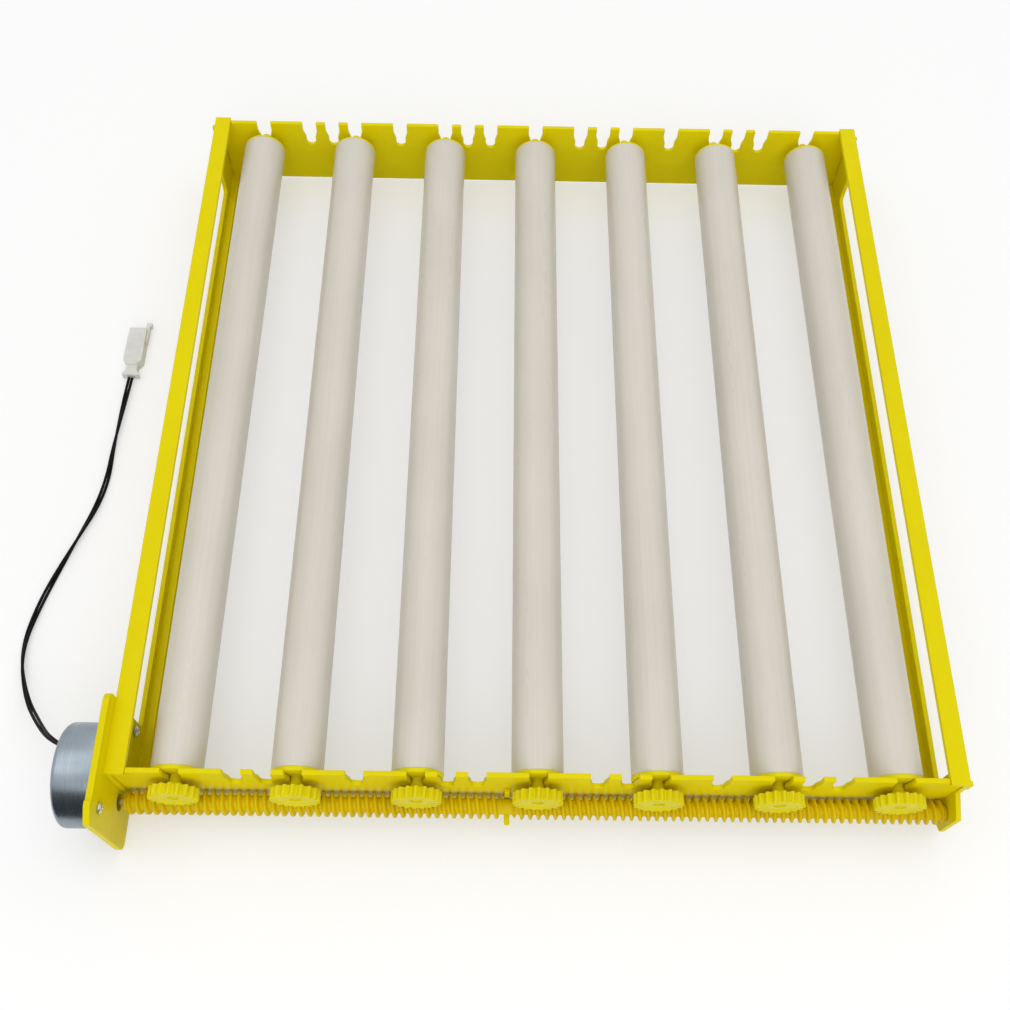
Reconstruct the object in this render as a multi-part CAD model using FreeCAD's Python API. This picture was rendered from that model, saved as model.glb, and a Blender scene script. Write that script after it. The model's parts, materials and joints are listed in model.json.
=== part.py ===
import FreeCAD, Part
import math
import os
from FreeCAD import Vector

# Egg-turning roller tray: seven hollow rollers lie in slotted end walls and are
# turned together by one long worm, which a small gear motor drives.
# +X runs along the worm, +Y along the rollers to the rear, +Z up. Millimetres.
# The origin is the centre of the bounding box's bottom face, lead left out.

# ---------------------------------------------------------------- rollers
ROLLER_COUNT = 7
ROLLER_PITCH = 56.0            # axis to axis
ROLLER_AXIS_HEIGHT = 34.0      # above the floor
TUBE_DIAMETER = 24.5
TUBE_WALL = 1.3
FRONT_COLLAR = 2.0             # thickness of the cap collars
REAR_COLLAR = 1.2
PLUG_LENGTH = 12.0             # how far the caps reach into the tube
PLUG_WALL = 1.6
NECK_DIAMETER = 5.6
REAR_NECK_FREE = 7.8           # rear neck between collar and rear wall
REAR_NECK_PROUD = 0.5          # rear neck beyond the rear wall
CONE_DIAMETER = 11.0           # neck's cone where it meets the gear

# ---------------------------------------------------------------- tray frame
SIDE_MARGIN = 29.0             # end roller axis to the outside of the side web
TRAY_LENGTH = 408.0            # length of the side rails
FRAME_HEIGHT = 49.0
WEB_THICKNESS = 2.4
RAIL_WIDTH = 9.0
RAIL_THICKNESS = 2.8
FLANGE_WIDTH = 16.0
FLANGE_THICKNESS = 2.4
LEFT_SILL = 9.4                # lower edges of the side windows
RIGHT_SILL = 11.6
LEDGE_WIDTH = 4.4              # raised bead along the flange, next to the web
LEDGE_HEIGHT = 2.2
LEFT_FRONT_WEB = 33.5          # lengths of the closed webs at the corners
RIGHT_FRONT_WEB = 10.4
REAR_WEB = 23.5
WINDOW_RADIUS = 3.0
WALL_THICKNESS = 2.4
WALL_INSET = 1.0               # wall faces behind the ends of the rails
LIP_DROP = 1.0                 # wall lip below the top of the rails
SLOT_WIDTH = 8.4
SLOT_TAPER = 4.5               # height over which a slot narrows to its seat
SPARE_SLOTS = (0.5, 0.75, 1.5, 2.25, 2.5, 3.5, 3.75, 4.5, 5.25, 5.5)
TAB_HEIGHT = 7.0
TAB_DROP = 4.0                 # top tab below the lip
LOW_TAB_RISE = 4.0             # low tab above the wall's lower edge
TAB_PROUD = 3.0                # tabs beyond the outside of the web

# ---------------------------------------------------------------- worm drive
GEAR_TEETH = 17
WORM_PITCH = 4.0
WORM_PITCH_RADIUS = 4.85
ADDENDUM = 0.95
DEDENDUM = 1.2
TOOTH_THICKNESS = 1.7          # of worm and gear at the pitch line
PRESSURE_ANGLE = 20.0
GEAR_WIDTH = 5.2
GEAR_DISH_DEPTH = 0.6
GEAR_RIM = 2.9                 # plain rim between tooth tips and dish
GEAR_RECESS_RADIUS = 2.7
GEAR_RECESS_DEPTH = 1.6
WORM_END_MARGIN = 0.6          # worm ends inside the side webs
WORM_CORE_RADIUS = 1.5
JOURNAL_WIDTH = 3.6
SADDLE_OFFSET = 14.0           # saddle left of the middle roller
SADDLE_WIDTH = 2.6
SADDLE_RADIUS = 8.6
SADDLE_HEIGHT = 21.0
SADDLE_TONGUE = 8.0
SADDLE_STRIP = 2.3             # rib left on the wall above the cradle
SADDLE_MOUTH_DROP = 3.0        # cradle's open edge below the worm's axis
EAR_REACH = 11.6               # right web ear ahead of the rails
EAR_TOP_REAR = 35.0            # heights of the ear's corners
EAR_TOP_FRONT = 30.0
EAR_BOTTOM_FRONT = 6.5
EAR_BOTTOM_REAR = 3.4
EAR_CHAMFER = 5.5

# ---------------------------------------------------------------- motor
BRACKET_THICKNESS = 3.0
BRACKET_FRONT = 24.5           # ahead of the rails
BRACKET_REAR = 36.1            # behind the front of the rails
BRACKET_HEIGHT = 58.2
BRACKET_RADIUS = 5.0
BRACKET_STEP = 1.0             # small step on the top edge near the front
BRACKET_STEP_LENGTH = 2.5
BRACKET_SLOPE_LENGTH = 7.5
BRACKET_SLOPE_DROP = 3.0
SHAFT_HOLE_RADIUS = 4.25
MOTOR_DEPTH = 19.5
MOTOR_WALL = 0.8
MOTOR_CAN_FILLET = 2.4
MOTOR_CENTRE_SETBACK = 4.4     # behind the front of the rails
MOTOR_CENTRE_HEIGHT = 30.0
FLANGE_PLATE = 1.2
EAR_HOLE_OFFSET = 1.75         # screw centres outside the can
EAR_ANGLES = (138.0, -22.0)    # from +Y towards +Z, seen along +X
EAR_RADIUS = 4.0
SCREW_RADIUS = 1.5
SCREW_HEAD_RADIUS = 2.75
SCREW_HEAD_HEIGHT = 1.8
SCREW_SLOT = 0.7
OUTPUT_SHAFT_RADIUS = 2.0
OUTPUT_PIVOT_RADIUS = 1.4      # of the shaft's end behind its wheel
SHAFT_ENTRY = 8.0              # how far the shaft goes into the worm
BUSH_RADIUS = 3.5
BUSH_PROUD = 1.6
WHEEL_TEETH = 28
PINION_TEETH = 10
TRAIN_MODULE = 0.5
TRAIN_BACKLASH = 0.16
TRAIN_LAYER = 2.0
TRAIN_GAP = 0.35
GEAR_PLATE_THICKNESS = 1.0
PIN_RADIUS = 0.7
ROTOR_RADIUS = 8.0
ROTOR_LENGTH = 6.0
COIL_INNER_RADIUS = 9.0
COIL_OUTER_RADIUS = 22.0
COIL_CLEARANCE = 1.45          # between the coil and the can
COIL_CHEEK = 0.8
COIL_CORE_WALL = 1.2

# ---------------------------------------------------------------- lead
LEAD_DIAMETER = 3.4
GROMMET_PROUD = 0.5
GROMMET_RADIUS = 3.0
GROMMET_NECK_RADIUS = 2.4
GROMMET_BACK = 0.5
GROMMET_SETBACK = 11.3         # from the motor's axis
GROMMET_RISE = 3.0
CONNECTOR_HEADING = 90.0       # degrees from +X
CONNECTOR_WIDTH = 10.8
CONNECTOR_HEIGHT = 6.4
CONNECTOR_BODY = 26.0
CONNECTOR_NECK = 8.0
NECK_START = 1.0               # neck's end ahead of the lead's
CONNECTOR_NECK_WIDTH = 6.2
CONNECTOR_NECK_HEIGHT = 4.4
CONNECTOR_CHAMFER = 3.0
WING_LENGTH = 3.6              # strain relief wings at the neck's end
WING_REACH = 1.7
WING_THICKNESS = 1.1
CAVITY = 3.2
CAVITY_DEPTH = 14.0
TERMINAL_SPACING = 4.2
TERMINAL_RADIUS = 0.9
TERMINAL_LENGTH = 21.0
LATCH_LENGTH = 9.0
LATCH_PROUD = 4.6
LATCH_WIDTH = 2.0

# ---------------------------------------------------------------- clearances
RUNNING = 0.05                 # radial, shafts in their bearings
SEAT_CLEARANCE = 0.08          # radial, roller necks in their seats
SIDE_CLEARANCE = 0.3           # between faces that turn past each other
TAB_CLEARANCE = 0.1
TRAIN_RUNNING = 0.04
EXTRA = 1.0                    # how far cutters reach past what they cut
RIDGE_BURIED = 0.6             # how deep the thread is sunk into its core
RIDGE_TURNS = 15               # turns of thread made in one sweep
JOIN_TOLERANCE = 0.001         # between one sweep and the next

# ---------------------------------------------------------------- worked out
TRAY_WIDTH = (ROLLER_COUNT - 1) * ROLLER_PITCH + 2 * SIDE_MARGIN
LEFT_REACH = TRAY_WIDTH / 2 + BRACKET_THICKNESS + MOTOR_DEPTH + GROMMET_PROUD
RIGHT_REACH = TRAY_WIDTH / 2 + TAB_PROUD
TRAY_X = (LEFT_REACH - RIGHT_REACH) / 2
RAIL_FRONT = (BRACKET_FRONT - TRAY_LENGTH) / 2
RAIL_REAR = RAIL_FRONT + TRAY_LENGTH
LEFT_OUT = TRAY_X - TRAY_WIDTH / 2
RIGHT_OUT = TRAY_X + TRAY_WIDTH / 2
LEFT_IN = LEFT_OUT + WEB_THICKNESS
RIGHT_IN = RIGHT_OUT - WEB_THICKNESS
FIRST_ROLLER_X = LEFT_OUT + SIDE_MARGIN
MID_ROLLER_X = FIRST_ROLLER_X + (ROLLER_COUNT // 2) * ROLLER_PITCH
LIP_HEIGHT = FRAME_HEIGHT - LIP_DROP
SEAT_RADIUS = NECK_DIAMETER / 2 + SEAT_CLEARANCE
FRONT_WALL_Y = RAIL_FRONT + WALL_INSET
FRONT_WALL_BACK = FRONT_WALL_Y + WALL_THICKNESS
REAR_WALL_BACK = RAIL_REAR - WALL_INSET
REAR_WALL_Y = REAR_WALL_BACK - WALL_THICKNESS
FRONT_COLLAR_Y = FRONT_WALL_BACK + SIDE_CLEARANCE
REAR_COLLAR_Y = REAR_WALL_Y - REAR_NECK_FREE
TUBE_FRONT = FRONT_COLLAR_Y + FRONT_COLLAR
TUBE_REAR = REAR_COLLAR_Y - REAR_COLLAR
PLUG_RADIUS = TUBE_DIAMETER / 2 - TUBE_WALL
GEAR_PITCH_RADIUS = GEAR_TEETH * WORM_PITCH / (2 * math.pi)
WORM_TIP_RADIUS = WORM_PITCH_RADIUS + ADDENDUM
WORM_ROOT_RADIUS = WORM_PITCH_RADIUS - DEDENDUM
WORM_Y = FRONT_WALL_Y - SIDE_CLEARANCE - WORM_TIP_RADIUS
WORM_Z = ROLLER_AXIS_HEIGHT - GEAR_PITCH_RADIUS - WORM_PITCH_RADIUS
GEAR_BACK = WORM_Y + GEAR_WIDTH / 2
GEAR_FRONT = WORM_Y - GEAR_WIDTH / 2
WORM_LEFT = LEFT_IN + WORM_END_MARGIN
WORM_RIGHT = RIGHT_IN - WORM_END_MARGIN
SADDLE_X = MID_ROLLER_X - SADDLE_OFFSET
JOURNAL_LEFT = SADDLE_X - JOURNAL_WIDTH / 2
JOURNAL_RIGHT = SADDLE_X + JOURNAL_WIDTH / 2
BRACKET_IN = LEFT_OUT
BRACKET_OUT = LEFT_OUT - BRACKET_THICKNESS
MOTOR_Y = RAIL_FRONT + MOTOR_CENTRE_SETBACK
MOTOR_Z = MOTOR_CENTRE_HEIGHT
MOTOR_END = BRACKET_OUT - MOTOR_DEPTH
TRAIN_START = BRACKET_OUT - FLANGE_PLATE
MOTOR_RADIUS = COIL_OUTER_RADIUS + COIL_CLEARANCE + MOTOR_WALL
EAR_HOLE_CIRCLE = MOTOR_RADIUS + EAR_HOLE_OFFSET


# ---------------------------------------------------------------- plain shapes
def box(x0, x1, y0, y1, z0, z1):
    """A block between the given limits."""
    return Part.makeBox(x1 - x0, y1 - y0, z1 - z0, Vector(x0, y0, z0))


def rod_x(y, z, radius, x0, x1):
    """A cylinder along X."""
    return Part.makeCylinder(radius, x1 - x0, Vector(x0, y, z), Vector(1, 0, 0))


def rod_y(x, z, radius, y0, y1):
    """A cylinder along Y."""
    return Part.makeCylinder(radius, y1 - y0, Vector(x, y0, z), Vector(0, 1, 0))


def turned_y(x, z, stations):
    """A solid turned about a line along Y, from (y, radius) stations."""
    points = [Vector(x + radius, y, z) for y, radius in stations]
    profile = Part.Face(Part.makePolygon(points + points[:1]))
    return profile.revolve(Vector(x, 0, z), Vector(0, 1, 0), 360)


def turned_x(y, z, stations):
    """A solid turned about a line along X, from (x, radius) stations."""
    points = [Vector(x, y, z + radius) for x, radius in stations]
    profile = Part.Face(Part.makePolygon(points + points[:1]))
    return profile.revolve(Vector(0, y, z), Vector(1, 0, 0), 360)


def round_corner(before, corner, after, radius):
    """The two tangent points and the middle of an arc that rounds a corner."""
    back = (before - corner).normalize()
    ahead = (after - corner).normalize()
    half = back.getAngle(ahead) / 2
    reach = radius / math.tan(half)
    start = corner + back * reach
    end = corner + ahead * reach
    bisector = (back + ahead).normalize()
    centre = corner + bisector * (radius / math.sin(half))
    return start, centre - bisector * radius, end


def rounded_loop(corners):
    """A closed wire through (point, radius) corners; radius 0 is sharp."""
    count = len(corners)
    spans = []
    for index, (point, radius) in enumerate(corners):
        if radius > 0:
            before = corners[index - 1][0]
            after = corners[(index + 1) % count][0]
            spans.append(round_corner(before, point, after, radius))
        else:
            spans.append((point, None, point))
    edges = []
    for index, (start, middle, end) in enumerate(spans):
        if middle is not None:
            edges.append(Part.Arc(start, middle, end).toShape())
        following = spans[(index + 1) % count][0]
        if end.distanceToPoint(following) > 1e-6:
            edges.append(Part.LineSegment(end, following).toShape())
    return Part.Wire(edges)


def plate_x(corners, x0, x1):
    """A plate across X from (y, z, radius) corners."""
    loop = rounded_loop([(Vector(x0, y, z), radius) for y, z, radius in corners])
    return Part.Face(loop).extrude(Vector(x1 - x0, 0, 0))


def cut_all(shape, cutters):
    """The shape less every cutter."""
    for cutter in cutters:
        shape = shape.cut(cutter)
    return shape


def join(shapes):
    """One solid from shapes that touch or overlap."""
    return shapes[0].fuse(shapes[1:]).removeSplitter()


# ---------------------------------------------------------------- gear teeth
def tooth_half_angle(radius, pitch_radius, thickness):
    """Half the angle that an involute tooth fills at a radius."""
    pressure = math.radians(PRESSURE_ANGLE)
    base_radius = pitch_radius * math.cos(pressure)
    half = thickness / (2 * pitch_radius) + math.tan(pressure) - pressure
    if radius > base_radius:
        slope = math.acos(base_radius / radius)
        half -= math.tan(slope) - slope
    return half


def gear_polygon(teeth, pitch_radius, tip_radius, root_radius, thickness, phase):
    """(angle, radius) corners of a gear; phase is the angle of one gap."""
    base_radius = pitch_radius * math.cos(math.radians(PRESSURE_ANGLE))
    radii = [root_radius, max(base_radius, root_radius + 0.01), pitch_radius, tip_radius]
    step = 2 * math.pi / teeth
    corners = []
    for tooth in range(teeth):
        middle = phase + (tooth + 0.5) * step
        rise = [(middle - tooth_half_angle(r, pitch_radius, thickness), r) for r in radii]
        fall = [(2 * middle - angle, r) for angle, r in reversed(rise)]
        corners += rise + fall
    return corners


def helical_roller_gear(x):
    """The gear of one roller, its teeth along the worm's thread below it."""
    tip_radius = GEAR_PITCH_RADIUS + ADDENDUM
    root_radius = GEAR_PITCH_RADIUS - DEDENDUM
    lead_slope = WORM_PITCH / (2 * math.pi * WORM_PITCH_RADIUS)
    # the worm's crest lies under the first roller, so later gears shift with pitch
    crest = (x - FIRST_ROLLER_X) / WORM_PITCH
    offset = (round(crest) - crest) * WORM_PITCH / GEAR_PITCH_RADIUS
    loops = []
    for y in (GEAR_BACK, GEAR_FRONT):
        turn = offset - lead_slope * (y - WORM_Y) / GEAR_PITCH_RADIUS
        corners = gear_polygon(GEAR_TEETH, GEAR_PITCH_RADIUS, tip_radius, root_radius,
                               TOOTH_THICKNESS, turn)
        points = [Vector(x + r * math.sin(a), y, ROLLER_AXIS_HEIGHT - r * math.cos(a))
                  for a, r in corners]
        loops.append(Part.makePolygon(points + points[:1]))
    return Part.makeLoft(loops, True, True)


def train_gear(y, z, teeth, x0, x1, gap_angle):
    """A small spur gear across X with a gap at gap_angle from +Y towards +Z."""
    pitch_radius = teeth * TRAIN_MODULE / 2
    thickness = math.pi * TRAIN_MODULE / 2 - TRAIN_BACKLASH
    corners = gear_polygon(teeth, pitch_radius, pitch_radius + TRAIN_MODULE,
                           pitch_radius - 1.25 * TRAIN_MODULE, thickness, gap_angle)
    points = [Vector(x0, y + r * math.cos(a), z + r * math.sin(a)) for a, r in corners]
    return Part.Face(Part.makePolygon(points + points[:1])).extrude(Vector(x1 - x0, 0, 0))


# ---------------------------------------------------------------- frame pieces
def tab_heights():
    """(low, high) of the wall's two tabs."""
    top = LIP_HEIGHT - TAB_DROP
    low = FLANGE_THICKNESS + LOW_TAB_RISE
    return [(top - TAB_HEIGHT, top), (low, low + TAB_HEIGHT)]


def tab_slots(outside, direction, reach):
    """Cutters for the walls' tabs through a side piece that is reach thick."""
    cutters = []
    near = outside - direction * EXTRA
    far = outside + direction * (reach + EXTRA)
    for wall_front in (FRONT_WALL_Y, REAR_WALL_Y):
        for low, high in tab_heights():
            cutters.append(box(min(near, far), max(near, far),
                               wall_front - TAB_CLEARANCE,
                               wall_front + WALL_THICKNESS + TAB_CLEARANCE,
                               low - TAB_CLEARANCE, high + TAB_CLEARANCE))
    return cutters


def side_profile(outside, direction):
    """A side frame before its window is cut; direction points inwards."""
    def part_box(reach0, reach1, z0, z1):
        ends = sorted((outside + direction * reach0, outside + direction * reach1))
        return box(ends[0], ends[1], RAIL_FRONT, RAIL_REAR, z0, z1)
    return [part_box(0, WEB_THICKNESS, 0, FRAME_HEIGHT),
            part_box(0, RAIL_WIDTH, FRAME_HEIGHT - RAIL_THICKNESS, FRAME_HEIGHT),
            part_box(0, FLANGE_WIDTH, 0, FLANGE_THICKNESS)]


def window(outside, direction, front_web, sill):
    """The long opening in a side web."""
    y0 = RAIL_FRONT + front_web
    y1 = RAIL_REAR - REAR_WEB
    z0 = sill
    z1 = FRAME_HEIGHT - RAIL_THICKNESS
    near = outside - direction * EXTRA
    far = outside + direction * (WEB_THICKNESS + EXTRA)
    corners = [(y0, z0, WINDOW_RADIUS), (y1, z0, WINDOW_RADIUS), (y1, z1, 0), (y0, z1, 0)]
    return plate_x(corners, min(near, far), max(near, far))


def flange_bead(outside, direction):
    """The raised bead on the flange, between the two walls."""
    ends = sorted((outside + direction * WEB_THICKNESS,
                   outside + direction * (WEB_THICKNESS + LEDGE_WIDTH)))
    return box(ends[0], ends[1], FRONT_WALL_BACK, REAR_WALL_Y,
               FLANGE_THICKNESS, FLANGE_THICKNESS + LEDGE_HEIGHT)


def left_side_frame():
    """Left side moulding, with a closed web where the motor bracket sits."""
    body = join(side_profile(LEFT_OUT, 1) + [flange_bead(LEFT_OUT, 1)])
    body = body.cut(window(LEFT_OUT, 1, LEFT_FRONT_WEB, LEFT_SILL))
    body = cut_all(body, tab_slots(LEFT_OUT, 1, WEB_THICKNESS))
    y, z = ear_hole(EAR_ANGLES[1])
    return body.cut(rod_x(y, z, SCREW_RADIUS, LEFT_OUT - EXTRA, LEFT_IN + EXTRA))


def right_side_frame():
    """Right side moulding, with the ear that carries the worm's right end."""
    body = join(side_profile(RIGHT_OUT, -1) + [flange_bead(RIGHT_OUT, -1)])
    body = body.cut(window(RIGHT_OUT, -1, RIGHT_FRONT_WEB, RIGHT_SILL))
    front = RAIL_FRONT - EAR_REACH
    ear = plate_x([(RAIL_FRONT + EXTRA, EAR_TOP_REAR, 0), (front, EAR_TOP_FRONT, 1.5),
                   (front, EAR_BOTTOM_FRONT, 1.0),
                   (front + EAR_CHAMFER, EAR_BOTTOM_REAR, 1.0),
                   (RAIL_FRONT + EXTRA, EAR_BOTTOM_REAR, 0)], RIGHT_IN, RIGHT_OUT)
    body = cut_all(join([body, ear]), tab_slots(RIGHT_OUT, -1, WEB_THICKNESS))
    bearing = rod_x(WORM_Y, WORM_Z, WORM_CORE_RADIUS + RUNNING, RIGHT_IN - EXTRA, RIGHT_OUT + EXTRA)
    return body.cut(bearing)


def slot_cutter(x, y0, y1):
    """An open slot that narrows to a round seat at the roller axis."""
    top = LIP_HEIGHT + EXTRA
    half = SLOT_WIDTH / 2
    shoulder = ROLLER_AXIS_HEIGHT + SEAT_RADIUS + SLOT_TAPER
    seat = ROLLER_AXIS_HEIGHT
    left_edge = [Vector(x - SEAT_RADIUS, y0, seat), Vector(x - SEAT_RADIUS, y0, seat + SEAT_RADIUS),
                 Vector(x - half, y0, shoulder), Vector(x - half, y0, top)]
    right_edge = [Vector(2 * x - p.x, p.y, p.z) for p in reversed(left_edge)]
    edges = Part.makePolygon(left_edge + right_edge).Edges
    low = Vector(x, y0, seat - SEAT_RADIUS)
    edges.append(Part.Arc(right_edge[-1], low, left_edge[0]).toShape())
    return Part.Face(Part.Wire(Part.__sortEdges__(edges))).extrude(Vector(0, y1 - y0, 0))


def end_wall(y0):
    """A slotted end wall with tabs that pass through the side webs."""
    y1 = y0 + WALL_THICKNESS
    body = box(LEFT_IN, RIGHT_IN, y0, y1, FLANGE_THICKNESS, LIP_HEIGHT)
    tabs = []
    for low, high in tab_heights():
        tabs.append(box(LEFT_OUT - TAB_PROUD, RIGHT_OUT + TAB_PROUD, y0, y1, low, high))
    body = join([body] + tabs)
    places = list(range(ROLLER_COUNT)) + [p for p in SPARE_SLOTS if p < ROLLER_COUNT - 1]
    cutters = [slot_cutter(FIRST_ROLLER_X + place * ROLLER_PITCH, y0 - EXTRA, y1 + EXTRA)
               for place in places]
    # the rails' tops lie over the wall's upper corners
    for x0, x1 in ((LEFT_OUT, LEFT_OUT + RAIL_WIDTH), (RIGHT_OUT - RAIL_WIDTH, RIGHT_OUT)):
        cutters.append(box(x0, x1, y0 - EXTRA, y1 + EXTRA,
                           FRAME_HEIGHT - RAIL_THICKNESS, LIP_HEIGHT + EXTRA))
    return cut_all(body, cutters)


def tongue_limits(clearance):
    """Limits in X and Z of the saddle's tongue in the front wall."""
    half = SADDLE_WIDTH / 2 + clearance
    middle = WORM_Z
    rise = SADDLE_TONGUE / 2 + clearance
    return SADDLE_X - half, SADDLE_X + half, middle - rise, middle + rise


def front_wall():
    """Front wall, with the pocket for the worm saddle's tongue."""
    x0, x1, z0, z1 = tongue_limits(TAB_CLEARANCE)
    pocket = box(x0, x1, FRONT_WALL_Y - EXTRA, FRONT_WALL_BACK + EXTRA, z0, z1)
    return end_wall(FRONT_WALL_Y).cut(pocket)


def rear_wall():
    """Rear wall."""
    return end_wall(REAR_WALL_Y)


def worm_saddle():
    """Open cradle under the worm's middle journal, on a rib of the front wall."""
    x0 = SADDLE_X - SADDLE_WIDTH / 2
    x1 = SADDLE_X + SADDLE_WIDTH / 2
    ring = rod_x(WORM_Y, WORM_Z, SADDLE_RADIUS, x0, x1)
    foot = box(x0, x1, WORM_Y, FRONT_WALL_Y, WORM_Z - SADDLE_HEIGHT / 2, WORM_Z + SADDLE_HEIGHT / 2)
    foot = foot.common(box(x0, x1, WORM_Y, FRONT_WALL_Y, 0, FRAME_HEIGHT))
    tongue_x0, tongue_x1, z0, z1 = tongue_limits(0)
    tongue = box(tongue_x0, tongue_x1, FRONT_WALL_Y - EXTRA, FRONT_WALL_BACK, z0, z1)
    behind_wall = box(x0 - EXTRA, x1 + EXTRA, FRONT_WALL_Y, FRONT_WALL_BACK + 2 * SADDLE_RADIUS,
                      -FRAME_HEIGHT, 2 * FRAME_HEIGHT)
    body = join([ring.cut(behind_wall), foot, tongue])
    mouth = box(x0 - EXTRA, x1 + EXTRA, WORM_Y - 2 * SADDLE_RADIUS, FRONT_WALL_Y - SADDLE_STRIP,
                WORM_Z - SADDLE_MOUTH_DROP, FRAME_HEIGHT)
    return body.cut(mouth).cut(rod_x(WORM_Y, WORM_Z, WORM_ROOT_RADIUS + RUNNING,
                                     x0 - EXTRA, x1 + EXTRA))


# ---------------------------------------------------------------- rollers
def roller_tube(x):
    """Hollow roller."""
    outer = rod_y(x, ROLLER_AXIS_HEIGHT, TUBE_DIAMETER / 2, TUBE_FRONT, TUBE_REAR)
    return outer.cut(rod_y(x, ROLLER_AXIS_HEIGHT, PLUG_RADIUS, TUBE_FRONT - EXTRA, TUBE_REAR + EXTRA))


def gear_cap(x):
    """Front cap: hollow plug, collar, neck in the slot, cone and gear."""
    z = ROLLER_AXIS_HEIGHT
    neck = NECK_DIAMETER / 2
    cone_start = FRONT_WALL_Y - SIDE_CLEARANCE
    shank = turned_y(x, z, [(GEAR_BACK - EXTRA, 0), (GEAR_BACK - EXTRA, CONE_DIAMETER / 2),
                            (GEAR_BACK, CONE_DIAMETER / 2), (cone_start, neck),
                            (FRONT_COLLAR_Y, neck), (FRONT_COLLAR_Y, TUBE_DIAMETER / 2),
                            (TUBE_FRONT, TUBE_DIAMETER / 2), (TUBE_FRONT, PLUG_RADIUS),
                            (TUBE_FRONT + PLUG_LENGTH, PLUG_RADIUS),
                            (TUBE_FRONT + PLUG_LENGTH, PLUG_RADIUS - PLUG_WALL),
                            (TUBE_FRONT, PLUG_RADIUS - PLUG_WALL), (TUBE_FRONT, 0)])
    body = join([helical_roller_gear(x), shank])
    rim = GEAR_PITCH_RADIUS + ADDENDUM - GEAR_RIM
    dish = turned_y(x, z, [(GEAR_FRONT - EXTRA, 0), (GEAR_FRONT - EXTRA, rim), (GEAR_FRONT, rim),
                           (GEAR_FRONT + GEAR_DISH_DEPTH, rim - GEAR_DISH_DEPTH),
                           (GEAR_FRONT + GEAR_DISH_DEPTH, GEAR_RECESS_RADIUS),
                           (GEAR_FRONT + GEAR_RECESS_DEPTH, GEAR_RECESS_RADIUS),
                           (GEAR_FRONT + GEAR_RECESS_DEPTH, 0)])
    return body.cut(dish)


def rear_cap(x):
    """Rear cap: hollow plug, thin collar and neck."""
    z = ROLLER_AXIS_HEIGHT
    neck = NECK_DIAMETER / 2
    inner = PLUG_RADIUS - PLUG_WALL
    return turned_y(x, z, [(TUBE_REAR, 0), (TUBE_REAR, inner), (TUBE_REAR - PLUG_LENGTH, inner),
                           (TUBE_REAR - PLUG_LENGTH, PLUG_RADIUS), (TUBE_REAR, PLUG_RADIUS),
                           (TUBE_REAR, TUBE_DIAMETER / 2), (REAR_COLLAR_Y, TUBE_DIAMETER / 2),
                           (REAR_COLLAR_Y, neck), (REAR_WALL_BACK + REAR_NECK_PROUD, neck),
                           (REAR_WALL_BACK + REAR_NECK_PROUD, 0)])


# ---------------------------------------------------------------- worm
def worm_tooth_half(radius):
    """Half the width of the thread along the axis at a radius."""
    slope = math.tan(math.radians(PRESSURE_ANGLE))
    return TOOTH_THICKNESS / 2 + (WORM_PITCH_RADIUS - radius) * slope


def thread_ridge():
    """The thread alone over a few turns, about +Z from the origin."""
    buried = WORM_ROOT_RADIUS - RIDGE_BURIED
    corners = [Vector(buried, 0, -worm_tooth_half(buried)),
               Vector(WORM_TIP_RADIUS, 0, -worm_tooth_half(WORM_TIP_RADIUS)),
               Vector(WORM_TIP_RADIUS, 0, worm_tooth_half(WORM_TIP_RADIUS)),
               Vector(buried, 0, worm_tooth_half(buried))]
    helix = Part.makeHelix(WORM_PITCH, WORM_PITCH * RIDGE_TURNS, WORM_PITCH_RADIUS)
    sweep = Part.BRepOffsetAPI.MakePipeShell(Part.Wire(helix.Edges))
    sweep.setFrenetMode(True)
    sweep.add(Part.makePolygon(corners + corners[:1]))
    sweep.build()
    sweep.makeSolid()
    return sweep.shape()


def worm_stock(length):
    """Threaded rod about +Z that leaves room to cut a sleeve of this length."""
    count = math.ceil((length / WORM_PITCH + 3) / RIDGE_TURNS)
    ridges = []
    for index in range(count):
        ridge = thread_ridge()
        ridge.translate(Vector(0, 0, index * RIDGE_TURNS * WORM_PITCH))
        ridges.append(ridge)
    core = Part.makeCylinder(WORM_ROOT_RADIUS, (count * RIDGE_TURNS + 2) * WORM_PITCH,
                             Vector(0, 0, -WORM_PITCH))
    return core.fuse(ridges, JOIN_TOLERANCE)


def threaded_rod(stock, x0, x1):
    """A length of the stock; one crest is on top under the first roller."""
    first_turn = math.floor((x0 - FIRST_ROLLER_X) / WORM_PITCH) - 1
    rod = stock.copy()
    # the thread starts on local +X: local Z turns to +X, then that crest to the top
    rod.rotate(Vector(0, 0, 0), Vector(0, 1, 0), 90)
    rod.rotate(Vector(0, 0, 0), Vector(1, 0, 0), 180)
    rod.translate(Vector(FIRST_ROLLER_X + first_turn * WORM_PITCH, WORM_Y, WORM_Z))
    return rod.common(rod_x(WORM_Y, WORM_Z, WORM_TIP_RADIUS + EXTRA, x0, x1))


def worm_left(stock):
    """Left sleeve, with the middle journal and the bore for the motor shaft."""
    journal = rod_x(WORM_Y, WORM_Z, WORM_ROOT_RADIUS, JOURNAL_LEFT - EXTRA, JOURNAL_RIGHT)
    body = threaded_rod(stock, WORM_LEFT, JOURNAL_LEFT).fuse(journal)
    bore = rod_x(WORM_Y, WORM_Z, WORM_CORE_RADIUS, WORM_LEFT - EXTRA, JOURNAL_RIGHT + EXTRA)
    socket = rod_x(WORM_Y, WORM_Z, OUTPUT_SHAFT_RADIUS, WORM_LEFT - EXTRA, WORM_LEFT + SHAFT_ENTRY)
    return cut_all(body, [bore, socket])


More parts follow.
